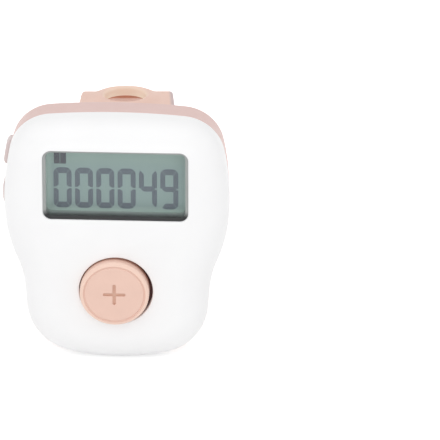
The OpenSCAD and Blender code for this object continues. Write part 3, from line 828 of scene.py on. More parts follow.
class COUNTER_OT_display(CounterOperator, bpy.types.Operator):
    """Builds the clear window and the figures of the display"""

    bl_idname = "counter.display"
    bl_label = "Display"

    def build(self, sizes, colours):
        self.window(colours)
        self.figures(sizes, colours)

    def window(self, colours):
        """A clear pane in a grey border with a bevel and a flange."""
        wide, high = WINDOW_W - 2 * WINDOW_PLAY, WINDOW_H - 2 * WINDOW_PLAY
        radius = WINDOW_R - WINDOW_PLAY

        def ring(inset, z):
            corners = round_rect(wide - 2 * inset, high - 2 * inset, radius - inset, WINDOW_STEPS)
            return level(corners, (0.0, WINDOW_Y), z)

        def flange(z):
            corners = round_rect(GLASS_W, GLASS_H, WINDOW_R / 2, WINDOW_STEPS)
            return level(corners, (0.0, WINDOW_Y - GLASS_DROP), z)

        profile = [ring(BORDER_W, WINDOW_BOTTOM), ring(BORDER_W, BEVEL_LOW), ring(BORDER_LAND, WINDOW_TOP)]
        profile += [ring(0.0, WINDOW_TOP), ring(0.0, FRONT_IN), flange(FRONT_IN), flange(WINDOW_BOTTOM)]
        border = loft("window_border", profile, closed=True)
        border.data.materials.append(self.border_with_painted_light_and_shade(colours, WINDOW_Y - high / 2))
        heights = (WINDOW_BOTTOM, WINDOW_TOP - PANE_SUNK)
        window = loft("clear_display_window", [ring(BORDER_W + PANE_GAP, z) for z in heights])
        clear = Shader("clear_window_plastic", (0.4, 0.43, 0.42), roughness=0.08).set(Alpha=0.06)
        window.data.materials.append(clear.polish(size_mm=4.0, least=0.05, most=0.12).material)
        finish_piece(merged(window, border), "housing", None, ("display_window",))

    def border_with_painted_light_and_shade(self, colours, foot):
        """Grey border with painted shade that darkens it towards its lower edge and, there, towards the face,
        and a painted paler inner wall.
        """
        # Painted shade: the border's lower wall runs from nearly black at the face to pale grey at the film.
        dark_shade, middle = (0.28, 0.285, 0.285), (0.37, 0.38, 0.38)
        bright, pale = (0.56, 0.59, 0.585), (0.72, 0.77, 0.755)
        fade_start, fade_end = foot + 0.6, foot + 1.5
        shader = Shader("window_border_plastic", colours.border, roughness=0.35).set(Specular_IOR_Level=0.3)
        depth = shader.along("Y", inwards(BEVEL_LOW), inwards(WINDOW_BOTTOM))
        stops = [(0.0, colours.border_foot_shade), (0.06, dark_shade), (0.3, middle), (0.65, bright), (1.0, pale)]
        lower = shader.ramp(depth, stops)
        # Painted light: above the lower edge the inner wall is paler than the border.
        upper = shader.ramp(depth, [(0.0, colours.border), (0.1, colours.border_wall_light)])
        shader.paint(shader.blend(shader.along("Z", upwards(fade_start), upwards(fade_end)), lower, upper))
        return shader.mottle(size_mm=3.0, darkest=0.97).material

    def figures(self, sizes, colours):
        """The count and the battery sign as thin bars on the film."""
        pitch = in_mm(sizes.digit_pitch)
        lengths = (sizes.digit_w, sizes.digit_h, sizes.digit_upright, sizes.digit_level)
        bars = figure_bars(*map(in_mm, lengths))
        first = FIGURES_X - pitch * (len(sizes.count) - 1) / 2
        polygons = []
        for position, digit in enumerate(sizes.count):
            x = first + pitch * position
            polygons += [[(x + a, FIGURES_Y + b) for a, b in bars[bar]] for bar in SEGMENTS[digit]]
        figures = self.inked("display_figures", polygons, colours.figures)
        battery = self.inked("battery_sign", battery_bars(), colours.battery)
        finish_piece(merged(figures, battery), "housing", None)

    def inked(self, name, polygons, colour):
        """Thin flat bars on the film in one ink."""
        verts, faces = [], []
        for polygon in polygons:
            loops = [[(x, y, z) for x, y in polygon] for z in (FILM_TOP, FILM_TOP + INK_T)]
            faces += [[len(verts) + i for i in face] for face in bridged(loops)]
            verts += loops[0] + loops[1]
        bars = new_object(name, verts, faces)
        ink = Shader(name + "_ink", colour, roughness=0.5).mottle(size_mm=0.8, darkest=0.9)
        bars.data.materials.append(ink.material)
        return bars


class COUNTER_OT_count_button(CounterOperator, bpy.types.Operator):
    """Builds the round count button with its ring line and plus sign"""

    bl_idname = "counter.count_button"
    bl_label = "Count button"

    def build(self, sizes, colours):
        edge, spot = in_mm(sizes.button_edge), (BUTTON_X, BUTTON_Y)
        flat_r = BUTTON_R - edge
        ring_r = flat_r + RING_OUT
        profile = [
            (BUTTON_STEM_R, BUTTON_STEM_LOW),
            (BUTTON_STEM_R, BUTTON_FLANGE_LOW),
            (BUTTON_FLANGE_R, BUTTON_FLANGE_LOW),
            (BUTTON_FLANGE_R, BUTTON_FLANGE_TOP),
            (BUTTON_R, BUTTON_FLANGE_TOP),
            (BUTTON_R, BUTTON_TOP - edge),
        ]
        profile += [(flat_r + edge * c, BUTTON_TOP - edge + edge * s) for s, c in quarter(EDGE_STEPS)]
        for i in range(RING_STEPS + 1):
            aside = 2 * i / RING_STEPS - 1
            depth = RING_D * (0.5 + 0.5 * math.cos(math.pi * aside))
            profile.append((ring_r - RING_W - RING_W * aside, BUTTON_TOP - depth))
        profile.append((ring_r - 3 * RING_W, BUTTON_TOP))
        cap = loft("count_button_cap", [level(circle(r, BUTTON_STEPS), spot, z) for r, z in profile])
        arm, plus = in_mm(sizes.plus_arm), []
        for wide, high in ((arm, PLUS_W), (PLUS_W, arm)):
            ring = round_rect(wide, high, PLUS_W * PLUS_ROUND, PLUS_STEPS)
            ends = (BUTTON_TOP - PLUS_D, BUTTON_TOP + PASS)
            plus.append(loft("plus_cutter", [level(ring, spot, z) for z in ends]))
        cut(cap, plus)
        self.mark_face(cap.data, arm, ring_r, edge)
        shader = Shader("button_peach_plastic", colours.button, roughness=0.38)
        # Painted shade: the cap's side gets darker from the face down to its foot, deep in the gap.
        shade = shader.along("Y", inwards(FRONT_D), inwards(BUTTON_FLANGE_TOP))
        stops = [(0.0, colours.button), (0.5, colours.button_side_shade), (0.85, colours.button_foot_shade)]
        # Painted highlight: a lighter rim outside the ring line.
        side = shader.blend(shader.attribute("rim"), shader.ramp(shade, stops), colours.button_rim_highlight)
        # Painted shade: the sign's grooves get darker with their depth.
        depth = shader.attribute("sign")
        sign = shader.ramp(depth, [(0.0, colours.button), (1.0, colours.button_sign_shade)])
        shader.paint(shader.blend(depth, side, sign))
        shader.mottle(size_mm=3.0, darkest=0.97).polish(size_mm=1.0, least=0.32, most=0.44)
        shader.grain(size_mm=0.18, height_mm=0.004)
        finish_piece(cap, "count_button", shader.material, ("count_button",))

    def mark_face(self, mesh, arm, ring_r, edge):
        """Notes how deep each point lies in the sign, from nought to one, for its painted shade, and whether
        it is on the rim, for its painted highlight.
        """
        centre = place((BUTTON_X, BUTTON_Y, BUTTON_TOP))
        signs, rim_highlights = [], []
        for vertex in mesh.vertices:
            away = vertex.co - centre
            radius, depth = in_mm(math.hypot(away.x, away.z)), in_mm(away.y)
            in_sign = radius < arm / 2 + PLUS_SLACK and depth < 2 * PLUS_D
            signs.append(clamp(depth / PLUS_D) if in_sign else 0.0)
            rim_highlights.append(1.0 if radius > ring_r and depth < edge * RIM_HIGHLIGHT_SHARE else 0.0)
        note(mesh, "sign", signs)
        note(mesh, "rim", rim_highlights)


class COUNTER_OT_side_keys(CounterOperator, bpy.types.Operator):
    """Builds the two keys on the left side"""

    bl_idname = "counter.side_keys"
    bl_label = "Side keys"

    def build(self, sizes, colours):
        shader = Shader("key_pink_plastic", colours.side_keys, roughness=0.42)
        shader.mottle(size_mm=3.0, darkest=0.97).polish(size_mm=1.0, least=0.36, most=0.5)
        shader.grain(size_mm=0.18, height_mm=0.005)
        detail = sizes.smoothness * 2
        front, behind = outline(0.0, detail * 2), outline(KEY_FLANGE_INSET, detail)
        for name, (top, length, proud, inner) in KEYS.items():
            low, stop = top - length, inner + KEY_FLANGE_T
            section = []
            for x, y in self.skin(front, low, top):
                t = clamp(1.0 - min(y - low, top - y) / KEY_END_R)
                section.append((x - proud * math.sqrt(1.0 - t * t), y))
            section += self.skin(behind, top, top + KEY_FLANGE)
            section += [(stop, top + KEY_FLANGE), (stop, low - KEY_FLANGE)]
            section += self.skin(behind, low - KEY_FLANGE, low)
            loops = [level(section, (0.0, 0.0), KEY_Z + side * KEY_T / 2) for side in (-1, 1)]
            key = bevelled(loft(name + "_cap", loops), KEY_BEVEL)
            finish_piece(key, name, shader.material, (name,))

    def skin(self, loop, low, high):
        """The left side of an outline between two heights, upwards."""
        left = [p for p in loop if p.x < 0]
        between = [p for p in left if low < p.y < high]
        return [tuple(p) for p in [self.at_height(left, low)] + between + [self.at_height(left, high)]]

    def at_height(self, skin, height):
        """The point of the left side's outline at a height."""
        for a, b in zip(skin, skin[1:]):
            if min(a.y, b.y) <= height <= max(a.y, b.y) and a.y != b.y and a.x < -BODY_W / 4:
                return a.lerp(b, (height - a.y) / (b.y - a.y))
        raise ValueError("the outline does not reach this height")


def band_corner(u, radius):
    """Centre of a corner under the band's upper wall."""
    slope = math.radians(BAND_SLOPE)
    return u, BAND_H / 2 - u * math.tan(slope) - radius / math.cos(slope)


def band_path():
    """The band's outer side as (u, y, normal u, normal y) at about even steps, clockwise."""
    lean = QUARTER_TURN - BAND_SLOPE
    foot = band_corner(BAND_FOOT_R, BAND_FOOT_R)
    back = band_corner(BAND_REACH - BAND_BACK_R, BAND_BACK_R)
    corners = [
        (foot, BAND_FOOT_R, HALF_TURN, lean),
        (back, BAND_BACK_R, lean, 0.0),
        ((back[0], -back[1]), BAND_BACK_R, 0.0, -lean),
        ((foot[0], -foot[1]), BAND_FOOT_R, -lean, -HALF_TURN),
    ]

    def on_arc(centre, radius, angle):
        c, s = cos_deg(angle), sin_deg(angle)
        return centre[0] + radius * c, centre[1] + radius * s, c, s

    path = []
    for k, (centre, radius, start, end) in enumerate(corners):
        count = max(LEAST_ARC_STEPS, round(math.radians(abs(end - start)) * radius / BAND_STEP))
        path += [on_arc(centre, radius, start + (end - start) * i / count) for i in range(count + 1)]
        u, y, c, s = path[-1]
        next_u, next_y, _, _ = on_arc(*corners[(k + 1) % len(corners)][:3])
        count = max(LEAST_RUN_STEPS, round(math.dist((u, y), (next_u, next_y)) / BAND_STEP))
        path += [(u + (next_u - u) * i / count, y + (next_y - y) * i / count, c, s) for i in range(1, count)]
    return path


def band_section():
    """The band's rounded section as (inset, sideways) points, clockwise."""
    half_t, half_w = BAND_T / 2, BAND_W / 2
    runs = round((BAND_W - 2 * BAND_EDGE_W) / BAND_STEP)
    points = []
    for corner, (side_d, side_v) in enumerate(((-1, -1), (-1, 1), (1, 1), (1, -1))):
        for k in range(BAND_EDGE_STEPS + 1):
            angle = 3 * QUARTER_TURN - QUARTER_TURN * corner - QUARTER_TURN * k / BAND_EDGE_STEPS
            inset = half_t + side_d * (half_t - BAND_EDGE) + BAND_EDGE * cos_deg(angle)
            points.append((inset, side_v * (half_w - BAND_EDGE_W) + BAND_EDGE_W * sin_deg(angle)))
        if side_d * side_v > 0:
            inset, edge = points[-1]
            points += [(inset, edge - 2 * edge * k / runs) for k in range(1, runs)]
    return points


class COUNTER_OT_finger_band(CounterOperator, bpy.types.Operator):
    """Builds the soft finger band with its raised eyelet"""

    bl_idname = "counter.finger_band"
    bl_label = "Finger band"

    def build(self, sizes, colours):
        path = band_path()
        slope = math.radians(BAND_SLOPE)
        crest = (EYELET_U, BAND_H / 2 - EYELET_U * math.tan(slope))
        loops = []
        for inset, aside in band_section():
            loop = []
            for u, y, nu, ny in path:
                du, dy = u - nu * inset, y - ny * inset
                x = BAND_X + aside * (1 - BAND_TAPER * du / BAND_REACH)
                if inset < BAND_T / 2 and ny > 0:
                    along = (u - crest[0]) * math.cos(slope) - (y - crest[1]) * math.sin(slope)
                    lift = self.lip_height(along, x - EYELET_X)
                    du += math.sin(slope) * lift
                    dy += math.cos(slope) * lift
                loop.append((x, BAND_Y + dy, -BACK_D - du))
            loops.append(loop)
        band = loft("soft_finger_band", loops, closed=True)
        cut(band, [self.eyelet_cutter(crest, slope)])
        stud_ends = (-BACK_D - BAND_T / 2, REAR_IN + STUD_HEAD_T / 2)
        studs = [column(spot, STUD_R, *stud_ends) for spot in STUD_SPOTS]
        studs += [column(spot, STUD_HEAD_R, REAR_IN, REAR_IN + STUD_HEAD_T) for spot in STUD_SPOTS]
        joined(band, studs)
        self.mark_depths(band.data, path, crest, slope)
        self.settle(band.data)
        shader = Shader("band_silicone", colours.band, roughness=0.5)
        # Painted light on the lip, wall and inside; shade under the eyelet; painted shade on the right edge.
        stops = [(0.0, colours.band), (0.45, colours.band_lip_light), (0.65, colours.band_wall_light)]
        stops += [(0.8, colours.band_wall_light), (1.0, colours.band_inside_light)]
        depth = shader.ramp(shader.attribute("inside"), stops)
        depth = shader.blend(shader.attribute("shade"), depth, colours.band_shade)
        shader.paint(shader.blend(shader.attribute("side"), depth, colours.band_side_shade))
        shader.mottle(size_mm=4.0, darkest=0.96).polish(size_mm=1.5, least=0.44, most=0.58)
        shader.grain(size_mm=0.3, height_mm=0.008)
        finish_piece(band, "housing", shader.material, ("finger_band",), angle=40.0)

    def mark_depths(self, mesh, path, crest, slope):
        """Notes each point's depth in the band, which also carries the painted light on the eyelet's wall,
        the shade under the eyelet and the painted shade on the right edge.
        """
        tree = kdtree.KDTree(len(path))
        for i, (u, y, _, _) in enumerate(path):
            tree.insert(place((0.0, BAND_Y + y, -BACK_D - u)), i)
        tree.balance()
        centre = place((EYELET_X, BAND_Y + crest[1], -BACK_D - crest[0]))
        out = Vector((0.0, math.sin(slope), math.cos(slope)))
        depths, shades, right_shades = [], [], []
        for vertex in mesh.vertices:
            flat = Vector((0.0, vertex.co.y, vertex.co.z))
            spot, i, _ = tree.find(flat)
            depth = in_mm((spot - flat).dot(Vector((0.0, *path[i][2:]))))
            away = (vertex.co - centre) * MM_PER_M
            height = away.dot(out)
            aside = (away - out * height).length - EYELET_R
            near = -2 * BAND_T < height
            # Painted light: points near the eyelet's wall take at least part of the paler wall colour.
            wall = WALL_LIGHT_TONE * clamp(WALL_LIGHT_FADE * (WALL_LIGHT_REACH - aside)) if near else 0.0
            u = in_mm(vertex.co.y) - SEAM - BACK_D
            flat_w = (BAND_W / 2 - BAND_EDGE_W) * (1 - BAND_TAPER * u / BAND_REACH)
            beyond = in_mm(vertex.co.x) - BAND_X
            on_edge = abs(beyond) > flat_w + BAND_SLACK
            depths.append(0.0 if on_edge else min(1.0, max(wall, depth / BAND_T)))
            under = near and height < BAND_SLACK - EYELET_FLOOR
            shades.append(clamp(1.0 - (aside - EYELET_RECESS) / EYELET_SHADE) if under else 0.0)
            # Painted shade: darker towards the band's right edge only.
            right_shades.append(clamp(RIGHT_SHADE_FADE * (beyond - flat_w + RIGHT_SHADE_REACH) / BAND_EDGE_W))
        note(mesh, "inside", depths)
        note(mesh, "shade", shades)
        note(mesh, "side", right_shades)

    def settle(self, mesh):
        """Leans the soft band to the left and up on its right side, as it lies behind the case."""
        for vertex in mesh.vertices:
            u = max(0.0, in_mm(vertex.co.y) - SEAM - BACK_D)
            aside = in_mm(vertex.co.x) - BAND_X
            vertex.co.x -= BAND_SKEW * u / MM_PER_M
            vertex.co.z += BAND_ROLL * aside * min(1.0, u / BAND_FOOT_R) / MM_PER_M

    def lip_height(self, along, aside):
        """Height of the raised lip beside the eyelet's axis, a little higher towards the back."""
        t = clamp((EYELET_BASE_R - math.hypot(along, aside)) / (EYELET_BASE_R - EYELET_CREST_R))
        crest = EYELET_LIP + EYELET_BACK * (max(0.0, along) / EYELET_CREST_R) ** 2
        return crest * t * t * (3 - 2 * t)

    def eyelet_cutter(self, crest, slope):
        """A flared round cutter through the band's upper wall, with a recess below."""
        profile = [(EYELET_RECESS, -BAND_T - PASS, 0.0), (EYELET_RECESS, -EYELET_FLOOR, 0.0)]
        profile += [(0.0, -EYELET_FLOOR, 0.0), (0.0, EYELET_SHARP - EYELET_FLOOR, 0.0)]
        for s, c in quarter(EYELET_FLARE_STEPS, first=0):
            height = EYELET_LIP - EYELET_FLARE + EYELET_FLARE * s
            profile.append((EYELET_FLARE - EYELET_FLARE * c, height, EYELET_BACK))
        profile.append((EYELET_FLARE, EYELET_LIP + PASS, EYELET_BACK))
        out = Vector((0.0, math.cos(slope), -math.sin(slope)))
        back = Vector((0.0, -math.sin(slope), -math.cos(slope)))
        centre = Vector((EYELET_X, BAND_Y + crest[1], -BACK_D - crest[0]))
        loops = []
        for offset, height, raised in profile:
            loop = []
            for a, b in circle(EYELET_R + offset, EYELET_STEPS):
                lift = raised * (max(0.0, b) / EYELET_CREST_R) ** 2
                loop.append(tuple(centre + Vector((a, 0.0, 0.0)) + back * b + out * (height + lift)))
            loops.append(loop)
        return loft("eyelet_cutter", loops)


class NodeTree:
    """A geometry node tree under construction, which sets a shape on every point of an object."""

    def __init__(self, name, sizes):
        self.tree = bpy.data.node_groups.new(name, "GeometryNodeTree")
        sockets = self.tree.interface
        for way in ("INPUT", "OUTPUT"):
            sockets.new_socket("Geometry", in_out=way, socket_type="NodeSocketGeometry")
        kinds = {**dict.fromkeys(sizes, "NodeSocketFloat"), "Material": "NodeSocketMaterial"}
        self.names = {}
        for label, kind in kinds.items():
            self.names[label] = sockets.new_socket(label, in_out="INPUT", socket_type=kind).identifier
        self.given = self.add("NodeGroupInput", {}).outputs

    def add(self, kind, inputs, **settings):
        """A node of this tree."""
        return add_node(self.tree, kind, inputs, **settings)

    def mesh(self, kind, **inputs):
        """A basic mesh, with underscores for spaces in the names of its sizes."""
        return self.add(kind, {key.replace("_", " "): value for key, value in inputs.items()}).outputs["Mesh"]

    def times(self, value, factor):
        """A value times a factor."""
        return self.add("ShaderNodeMath", {0: value, 1: factor}, operation="MULTIPLY").outputs[0]

    def vector(self, **axes):
        """A vector from its axes."""
        return self.add("ShaderNodeCombineXYZ", axes).outputs["Vector"]

    def raised(self, mesh, height):
        """A mesh moved along Z."""
        inputs = {"Geometry": mesh, "Translation": self.vector(Z=height)}
        return self.add("GeometryNodeTransform", inputs).outputs["Geometry"]

    def joined(self, meshes):
        """Several meshes as one."""
        return self.add("GeometryNodeJoinGeometry", {"Geometry": meshes}).outputs["Geometry"]

    def finish(self, shape, rotation=(0.0, 0.0, 0.0)):
        """Sets the shape on every point, realises the copies, sets the material and ends the tree."""
        inputs = {"Points": self.given["Geometry"], "Instance": shape, "Rotation": rotation}
        copies = self.add("GeometryNodeInstanceOnPoints", inputs).outputs["Instances"]
        real = self.add("GeometryNodeRealizeInstances", {"Geometry": copies}).outputs["Geometry"]
        inputs = {"Geometry": real, "Material": self.given["Material"]}
        painted = self.add("GeometryNodeSetMaterial", inputs).outputs["Geometry"]
        self.add("NodeGroupOutput", {"Geometry": painted})

    def apply(self, obj, material, sizes):
        """Runs the tree on an object, with sizes in mm, and keeps the result as plain mesh."""
        modifier = obj.modifiers.new("pattern", "NODES")
        modifier.node_group = self.tree
        modifier[self.names["Material"]] = material
        for label, size in sizes.items():
            modifier[self.names[label]] = size / MM_PER_M
        baked(obj)
        turn_outwards(obj.data)
        return obj


class COUNTER_OT_case_screws(CounterOperator, bpy.types.Operator):
    """Sets the four case screws in their wells"""

    bl_idname = "counter.case_screws"
    bl_label = "Case screws"

    SIZES = {
        "Head radius": SCREW_HEAD_R,
        "Head height": SCREW_HEAD_T,
        "Shank radius": SCREW_SHANK_R,
        "Shank length": SCREW_SHANK_LEN,
        "Slot length": SCREW_SLOT_LEN,
        "Slot width": SCREW_SLOT_W,
        "Slot depth": SCREW_SLOT_D,
    }

    def build(self, sizes, colours):
        steel = Shader("screw_zinc_steel", (0.74, 0.74, 0.75), roughness=0.34, metallic=1.0)
        steel.mottle(size_mm=0.6, darkest=0.85).polish(size_mm=0.4, least=0.26, most=0.45)
        steel.grain(size_mm=0.12, height_mm=0.003)
        screws = new_object("case_screw_set", [(x, y, SCREW_SEAT) for x, y in SCREW_SPOTS], [])
        self.screw_tree().apply(screws, steel.material, self.SIZES)
        finish_piece(screws, "housing", None, ("case_screws",), angle=30.0)

    def screw_tree(self):
        """A pan-head screw with a cross slot on every point, pointing into the case."""
        tree = NodeTree("case_screw_pattern", self.SIZES)
        given = tree.given
        head = tree.mesh(
            "GeometryNodeMeshCone",
            Vertices=HEAD_STEPS,
            Side_Segments=HEAD_RINGS,
            Radius_Top=tree.times(given["Head radius"], SCREW_CROWN),
            Radius_Bottom=given["Head radius"],
            Depth=given["Head height"],
        )
        bars = []
        for long_axis, short_axis in ("XY", "YX"):
            axes = {long_axis: given["Slot length"], short_axis: given["Slot width"]}
            size = tree.vector(**axes, Z=tree.times(given["Slot depth"], 2.0))
            bars.append(tree.raised(tree.mesh("GeometryNodeMeshCube", Size=size), given["Head height"]))
        inputs = {"Mesh 1": head, "Mesh 2": tree.joined(bars), "Self Intersection": True}
        slotted = tree.add("GeometryNodeMeshBoolean", inputs, operation="DIFFERENCE", solver="EXACT")
        shank = tree.mesh(
            "GeometryNodeMeshCylinder",
            Vertices=SHANK_STEPS,
            Radius=given["Shank radius"],
            Depth=given["Shank length"],
        )
        low_shank = tree.raised(shank, tree.times(given["Shank length"], -0.5))
        into_case = (math.radians(-QUARTER_TURN), 0.0, 0.0)
        tree.finish(tree.joined([slotted.outputs["Mesh"], low_shank]), into_case)
        return tree


class COUNTER_OT_charging_contacts(CounterOperator, bpy.types.Operator):
    """Sets the row of gold contacts on the charging socket's tongue"""

    bl_idname = "counter.charging_contacts"
    bl_label = "Charging contacts"

    def build(self, sizes, colours):
        strip_sizes = {"Width": CONTACT_W, "Length": CONTACT_LEN, "Thickness": CONTACT_T}
        tree = NodeTree("charging_contact_pattern", strip_sizes)
        size = tree.vector(X=tree.given["Width"], Y=tree.given["Thickness"], Z=tree.given["Length"])
        tree.finish(tree.mesh("GeometryNodeMeshCube", Size=size))
        middle = TONGUE_BACK - CONTACT_LEN / 2 - CONTACT_END
        height = TONGUE_FACE_Z - CONTACT_T / 2
        spots = [(CONTACT_PITCH * k, middle, height) for k in CONTACT_PLACES]
        row = new_object("charging_contacts", spots, [])
        gold = Shader("contact_gold", (0.86, 0.7, 0.36), roughness=0.28, metallic=1.0)
        tree.apply(row, gold.mottle(size_mm=0.3, darkest=0.9).material, strip_sizes)
        finish_piece(row, "housing", None)


class COUNTER_OT_inner_parts(CounterOperator, bpy.types.Operator):
    """Finishes the parts inside the case and the display's layers"""

    bl_idname = "counter.inner_parts"
    bl_label = "Inner parts"

    def build(self, sizes, colours):
        self.dress(self.film_paint(colours), "front_polarizer")
        glass = Shader("display_glass", (0.86, 0.92, 0.9), 0.1).polish(2.0, 0.06, 0.16).set(Alpha=0.35)
        self.dress(glass, "lcd_front_glass", "lcd_rear_glass")
        self.dress(Shader("reflector_foil", (0.8, 0.82, 0.8), 0.4, 1.0).grain(0.08, 0.002), "reflector")
        self.dress(Shader("light_guide_plastic", (0.93, 0.93, 0.89), 0.3).mottle(2.0, 0.95), "light_guide")
        self.dress(Shader("zebra_rubber", (0.28, 0.28, 0.3), 0.7).mottle(0.2, 0.6), "zebra_strips")
        plastic = Shader("frame_plastic", (0.9, 0.9, 0.9), 0.45).mottle(3.0, 0.96).grain(0.2, 0.005)
        self.dress(plastic, "display_frame")
        board = Shader("board_mask", (0.12, 0.4, 0.24), 0.35).mottle(1.2, 0.8).grain(0.4, 0.01)
        self.dress(board, "main_board", "cell_board")
        black = Shader("black_plastic", (0.09, 0.09, 0.095), 0.45).mottle(0.8, 0.8).grain(0.15, 0.004)
        self.dress(black, "count_plunger", "reset_plunger", "power_plunger", "socket_tongue")
        steel = Shader("switch_steel", (0.76, 0.76, 0.77), 0.3, 1.0).mottle(0.5, 0.88).polish(0.5, 0.24, 0.4)
        self.dress(steel, "count_switch", "reset_switch", "power_switch", "crystal")
        epoxy = Shader("epoxy_drop", (0.06, 0.06, 0.065), 0.18).mottle(1.0, 0.7).grain(0.8, 0.02)
        self.dress(epoxy, "controller")
        self.dress(Shader("chip_ceramic", (0.72, 0.6, 0.47), 0.6).mottle(0.4, 0.85), "board_chips")
        plate = Shader("socket_plate", (0.8, 0.8, 0.81), 0.24, 1.0).mottle(0.7, 0.86).polish(0.4, 0.18, 0.34)
        self.dress(plate, "charging_socket")
        pouch = Shader("cell_pouch", (0.78, 0.8, 0.83), 0.32, 1.0).mottle(2.0, 0.88).grain(0.6, 0.02)
        self.dress(pouch, "cell")
        self.dress(Shader("lead_insulation", (0.78, 0.12, 0.1), 0.45).mottle(0.6, 0.85), "cell_leads")
        foam = Shader("tape_foam", (0.92, 0.92, 0.9), 0.85).mottle(0.4, 0.85).grain(0.25, 0.03)
        self.dress(foam, "cell_tape")
        zinc = Shader("board_screw_steel", (0.74, 0.74, 0.75), 0.36, 1.0).mottle(0.5, 0.85)
        self.dress(zinc, "board_screws")

    def dress(self, shader, *nodes):
        """Gives solid parts a material."""
        for node in nodes:
            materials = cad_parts[node].data.materials
            materials.clear()
            materials.append(shader.material)

    def film_paint(self, colours):
        """Film with painted shade that makes it a little darker behind the figures, and painted light that
        makes it paler towards its edges.
        """
        pale, shaded_film = colours.film_edge_light, colours.film_deep_shade
        shader = Shader("display_film", colours.film, roughness=0.45)
        # Painted shade: darker rows behind the figures; painted light: paler film at the lower edge.
        height = shader.along("Z", upwards(WINDOW_Y - WINDOW_H / 2), upwards(WINDOW_Y + WINDOW_H / 2))
        rows = shader.ramp(height, [(0.04, pale), (0.12, shaded_film), (0.7, shaded_film), (0.8, colours.film)])
        # Painted light: paler film at the left and right ends.
        sideways = shader.along("X", across(-WINDOW_W / 2), across(WINDOW_W / 2))
        within, beyond = (1.0, 1.0, 1.0), (0.0, 0.0, 0.0)
        ends = [(0.014, beyond), (0.064, within), (0.962, within), (0.985, beyond)]
        shader.paint(shader.blend(shader.ramp(sideways, ends), pale, rows))
        return shader.mottle(size_mm=3.0, darkest=0.97).grain(size_mm=0.1, height_mm=0.002, strength=0.2)


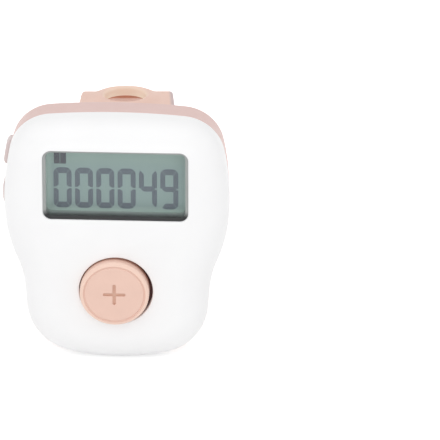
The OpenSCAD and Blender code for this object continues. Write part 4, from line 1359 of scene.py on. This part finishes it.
class COUNTER_OT_stage(bpy.types.Operator):
    """Sets the pale floor, the soft light and the camera"""

    bl_idname = "counter.stage"
    bl_label = "Stage"
    bl_options = {"INTERNAL"}

    def execute(self, context):
        scene = context.scene
        stage = scene.counter_stage
        self.sky(scene, stage)
        self.floor(scene)
        self.lamp(scene, KEY_LAMP, stage.key_light)
        self.lamp(scene, FILL_LAMP, stage.fill_light)
        self.camera(scene, stage)
        scene.view_settings.view_transform = "Standard"
        return {"FINISHED"}

    def seen(self, tree):
        """One where the camera, a reflection or a clear piece sees the surface, and nought otherwise."""
        path = tree.nodes.new("ShaderNodeLightPath").outputs
        most = path["Is Camera Ray"]
        for label in ("Is Glossy Ray", "Is Transmission Ray"):
            most = add_node(tree, "ShaderNodeMath", {0: most, 1: path[label]}, operation="MAXIMUM").outputs[0]
        return most

    def sky(self, scene, stage):
        """Even light all round, which is plain white where it is seen."""
        world = bpy.data.worlds.new("studio_sky")
        world.use_nodes = True
        tree = world.node_tree
        dim = tree.nodes["Background"]
        dim.inputs["Color"].default_value = WHITE
        dim.inputs["Strength"].default_value = stage.sky
        bright = add_node(tree, "ShaderNodeBackground", {"Color": WHITE})
        first, second = dim.outputs["Background"], bright.outputs["Background"]
        mix = add_node(tree, "ShaderNodeMixShader", {"Fac": self.seen(tree), 1: first, 2: second})
        tree.links.new(mix.outputs["Shader"], tree.nodes["World Output"].inputs["Surface"])
        scene.world = world

    def floor(self, scene):
        """A pale floor under the part, which keeps its shadow."""
        half, low = FLOOR_HALF, min(CAD_BOX[0][2], CAD_BOX[1][2])
        mesh = bpy.data.meshes.new("floor")
        corners = [(-half, -half, low), (half, -half, low), (half, half, low), (-half, half, low)]
        mesh.from_pydata(corners, [], [(0, 1, 2, 3)])
        floor = bpy.data.objects.new("floor", mesh)
        scene.collection.objects.link(floor)
        material = bpy.data.materials.new("pale_floor")
        material.use_nodes = True
        tree = material.node_tree
        surface = tree.nodes["Principled BSDF"].inputs
        surface["Base Color"].default_value = (FLOOR_TONE, FLOOR_TONE, FLOOR_TONE, 1.0)
        surface["Roughness"].default_value = FLOOR_ROUGH
        surface["Emission Color"].default_value = WHITE
        glow = add_node(tree, "ShaderNodeMath", {0: self.seen(tree), 1: FLOOR_GLOW}, operation="MULTIPLY")
        tree.links.new(glow.outputs[0], surface["Emission Strength"])
        mesh.materials.append(material)

    def lamp(self, scene, kind, power):
        """A round soft lamp that points at the part."""
        light = bpy.data.lights.new(kind.name, "AREA")
        light.shape = "DISK"
        light.size = kind.size
        light.energy = power
        lamp = bpy.data.objects.new(kind.name, light)
        lamp.location = kind.spot
        lamp.rotation_mode = "QUATERNION"
        lamp.rotation_quaternion = (-Vector(kind.spot)).to_track_quat("-Z", "Y")
        scene.collection.objects.link(lamp)

    def camera(self, scene, stage):
        """A camera with a long lens, a little above the face and to its right."""
        a, e = stage.azimuth, stage.elevation
        back = Vector((math.sin(a) * math.cos(e), -math.cos(a) * math.cos(e), math.sin(e)))
        turn = (-back).to_track_quat("-Z", "Y")
        right, up = turn @ Vector((1.0, 0.0, 0.0)), turn @ Vector((0.0, 1.0, 0.0))
        aim = place((0.0, 0.0, 0.0)) + right * stage.aim_right + up * stage.aim_up
        data = bpy.data.cameras.new("camera")
        data.sensor_width = SENSOR_W
        data.lens = stage.pixels_per_mm * SENSOR_W * in_mm(stage.distance) / PICTURE_SIDE
        data.clip_end = FAR_CLIP
        camera = bpy.data.objects.new("camera", data)
        camera.location = aim + back * stage.distance
        camera.rotation_mode = "QUATERNION"
        camera.rotation_quaternion = turn
        scene.collection.objects.link(camera)
        scene.camera = camera


GROUPS = {"counter_sizes": CounterSizes, "counter_colours": CounterColours, "counter_stage": CounterStage}
STEPS = (
    COUNTER_OT_front_cover,
    COUNTER_OT_back_cover,
    COUNTER_OT_display,
    COUNTER_OT_count_button,
    COUNTER_OT_side_keys,
    COUNTER_OT_finger_band,
    COUNTER_OT_case_screws,
    COUNTER_OT_charging_contacts,
    COUNTER_OT_inner_parts,
    COUNTER_OT_stage,
)


class COUNTER_PT_sidebar(bpy.types.Panel):
    """Lists the counter's sizes, colours and steps"""

    bl_idname = "COUNTER_PT_sidebar"
    bl_label = "Finger tally counter"
    bl_space_type = "VIEW_3D"
    bl_region_type = "UI"
    bl_category = "Counter"

    def draw(self, context):
        for name, kind in GROUPS.items():
            group = getattr(context.scene, name)
            box = self.layout.box()
            for key in kind.__annotations__:
                box.prop(group, key)
        for step in STEPS:
            self.layout.operator(step.bl_idname)


CLASSES = (*GROUPS.values(), *STEPS, COUNTER_PT_sidebar)


def register():
    """Makes the counter's sizes, colours, steps and panel known."""
    for each in CLASSES:
        bpy.utils.register_class(each)
    for name, group in GROUPS.items():
        setattr(bpy.types.Scene, name, PointerProperty(type=group))


def unregister():
    """Takes back what register did."""
    for name in GROUPS:
        delattr(bpy.types.Scene, name)
    for each in reversed(CLASSES):
        bpy.utils.unregister_class(each)


def main():
    """Builds every piece and the stage."""
    register()
    bpy.ops.counter.front_cover()
    bpy.ops.counter.back_cover()
    bpy.ops.counter.display()
    bpy.ops.counter.count_button()
    bpy.ops.counter.side_keys()
    bpy.ops.counter.finger_band()
    bpy.ops.counter.case_screws()
    bpy.ops.counter.charging_contacts()
    bpy.ops.counter.inner_parts()
    bpy.ops.counter.stage()


if __name__ == "__main__":
    main()
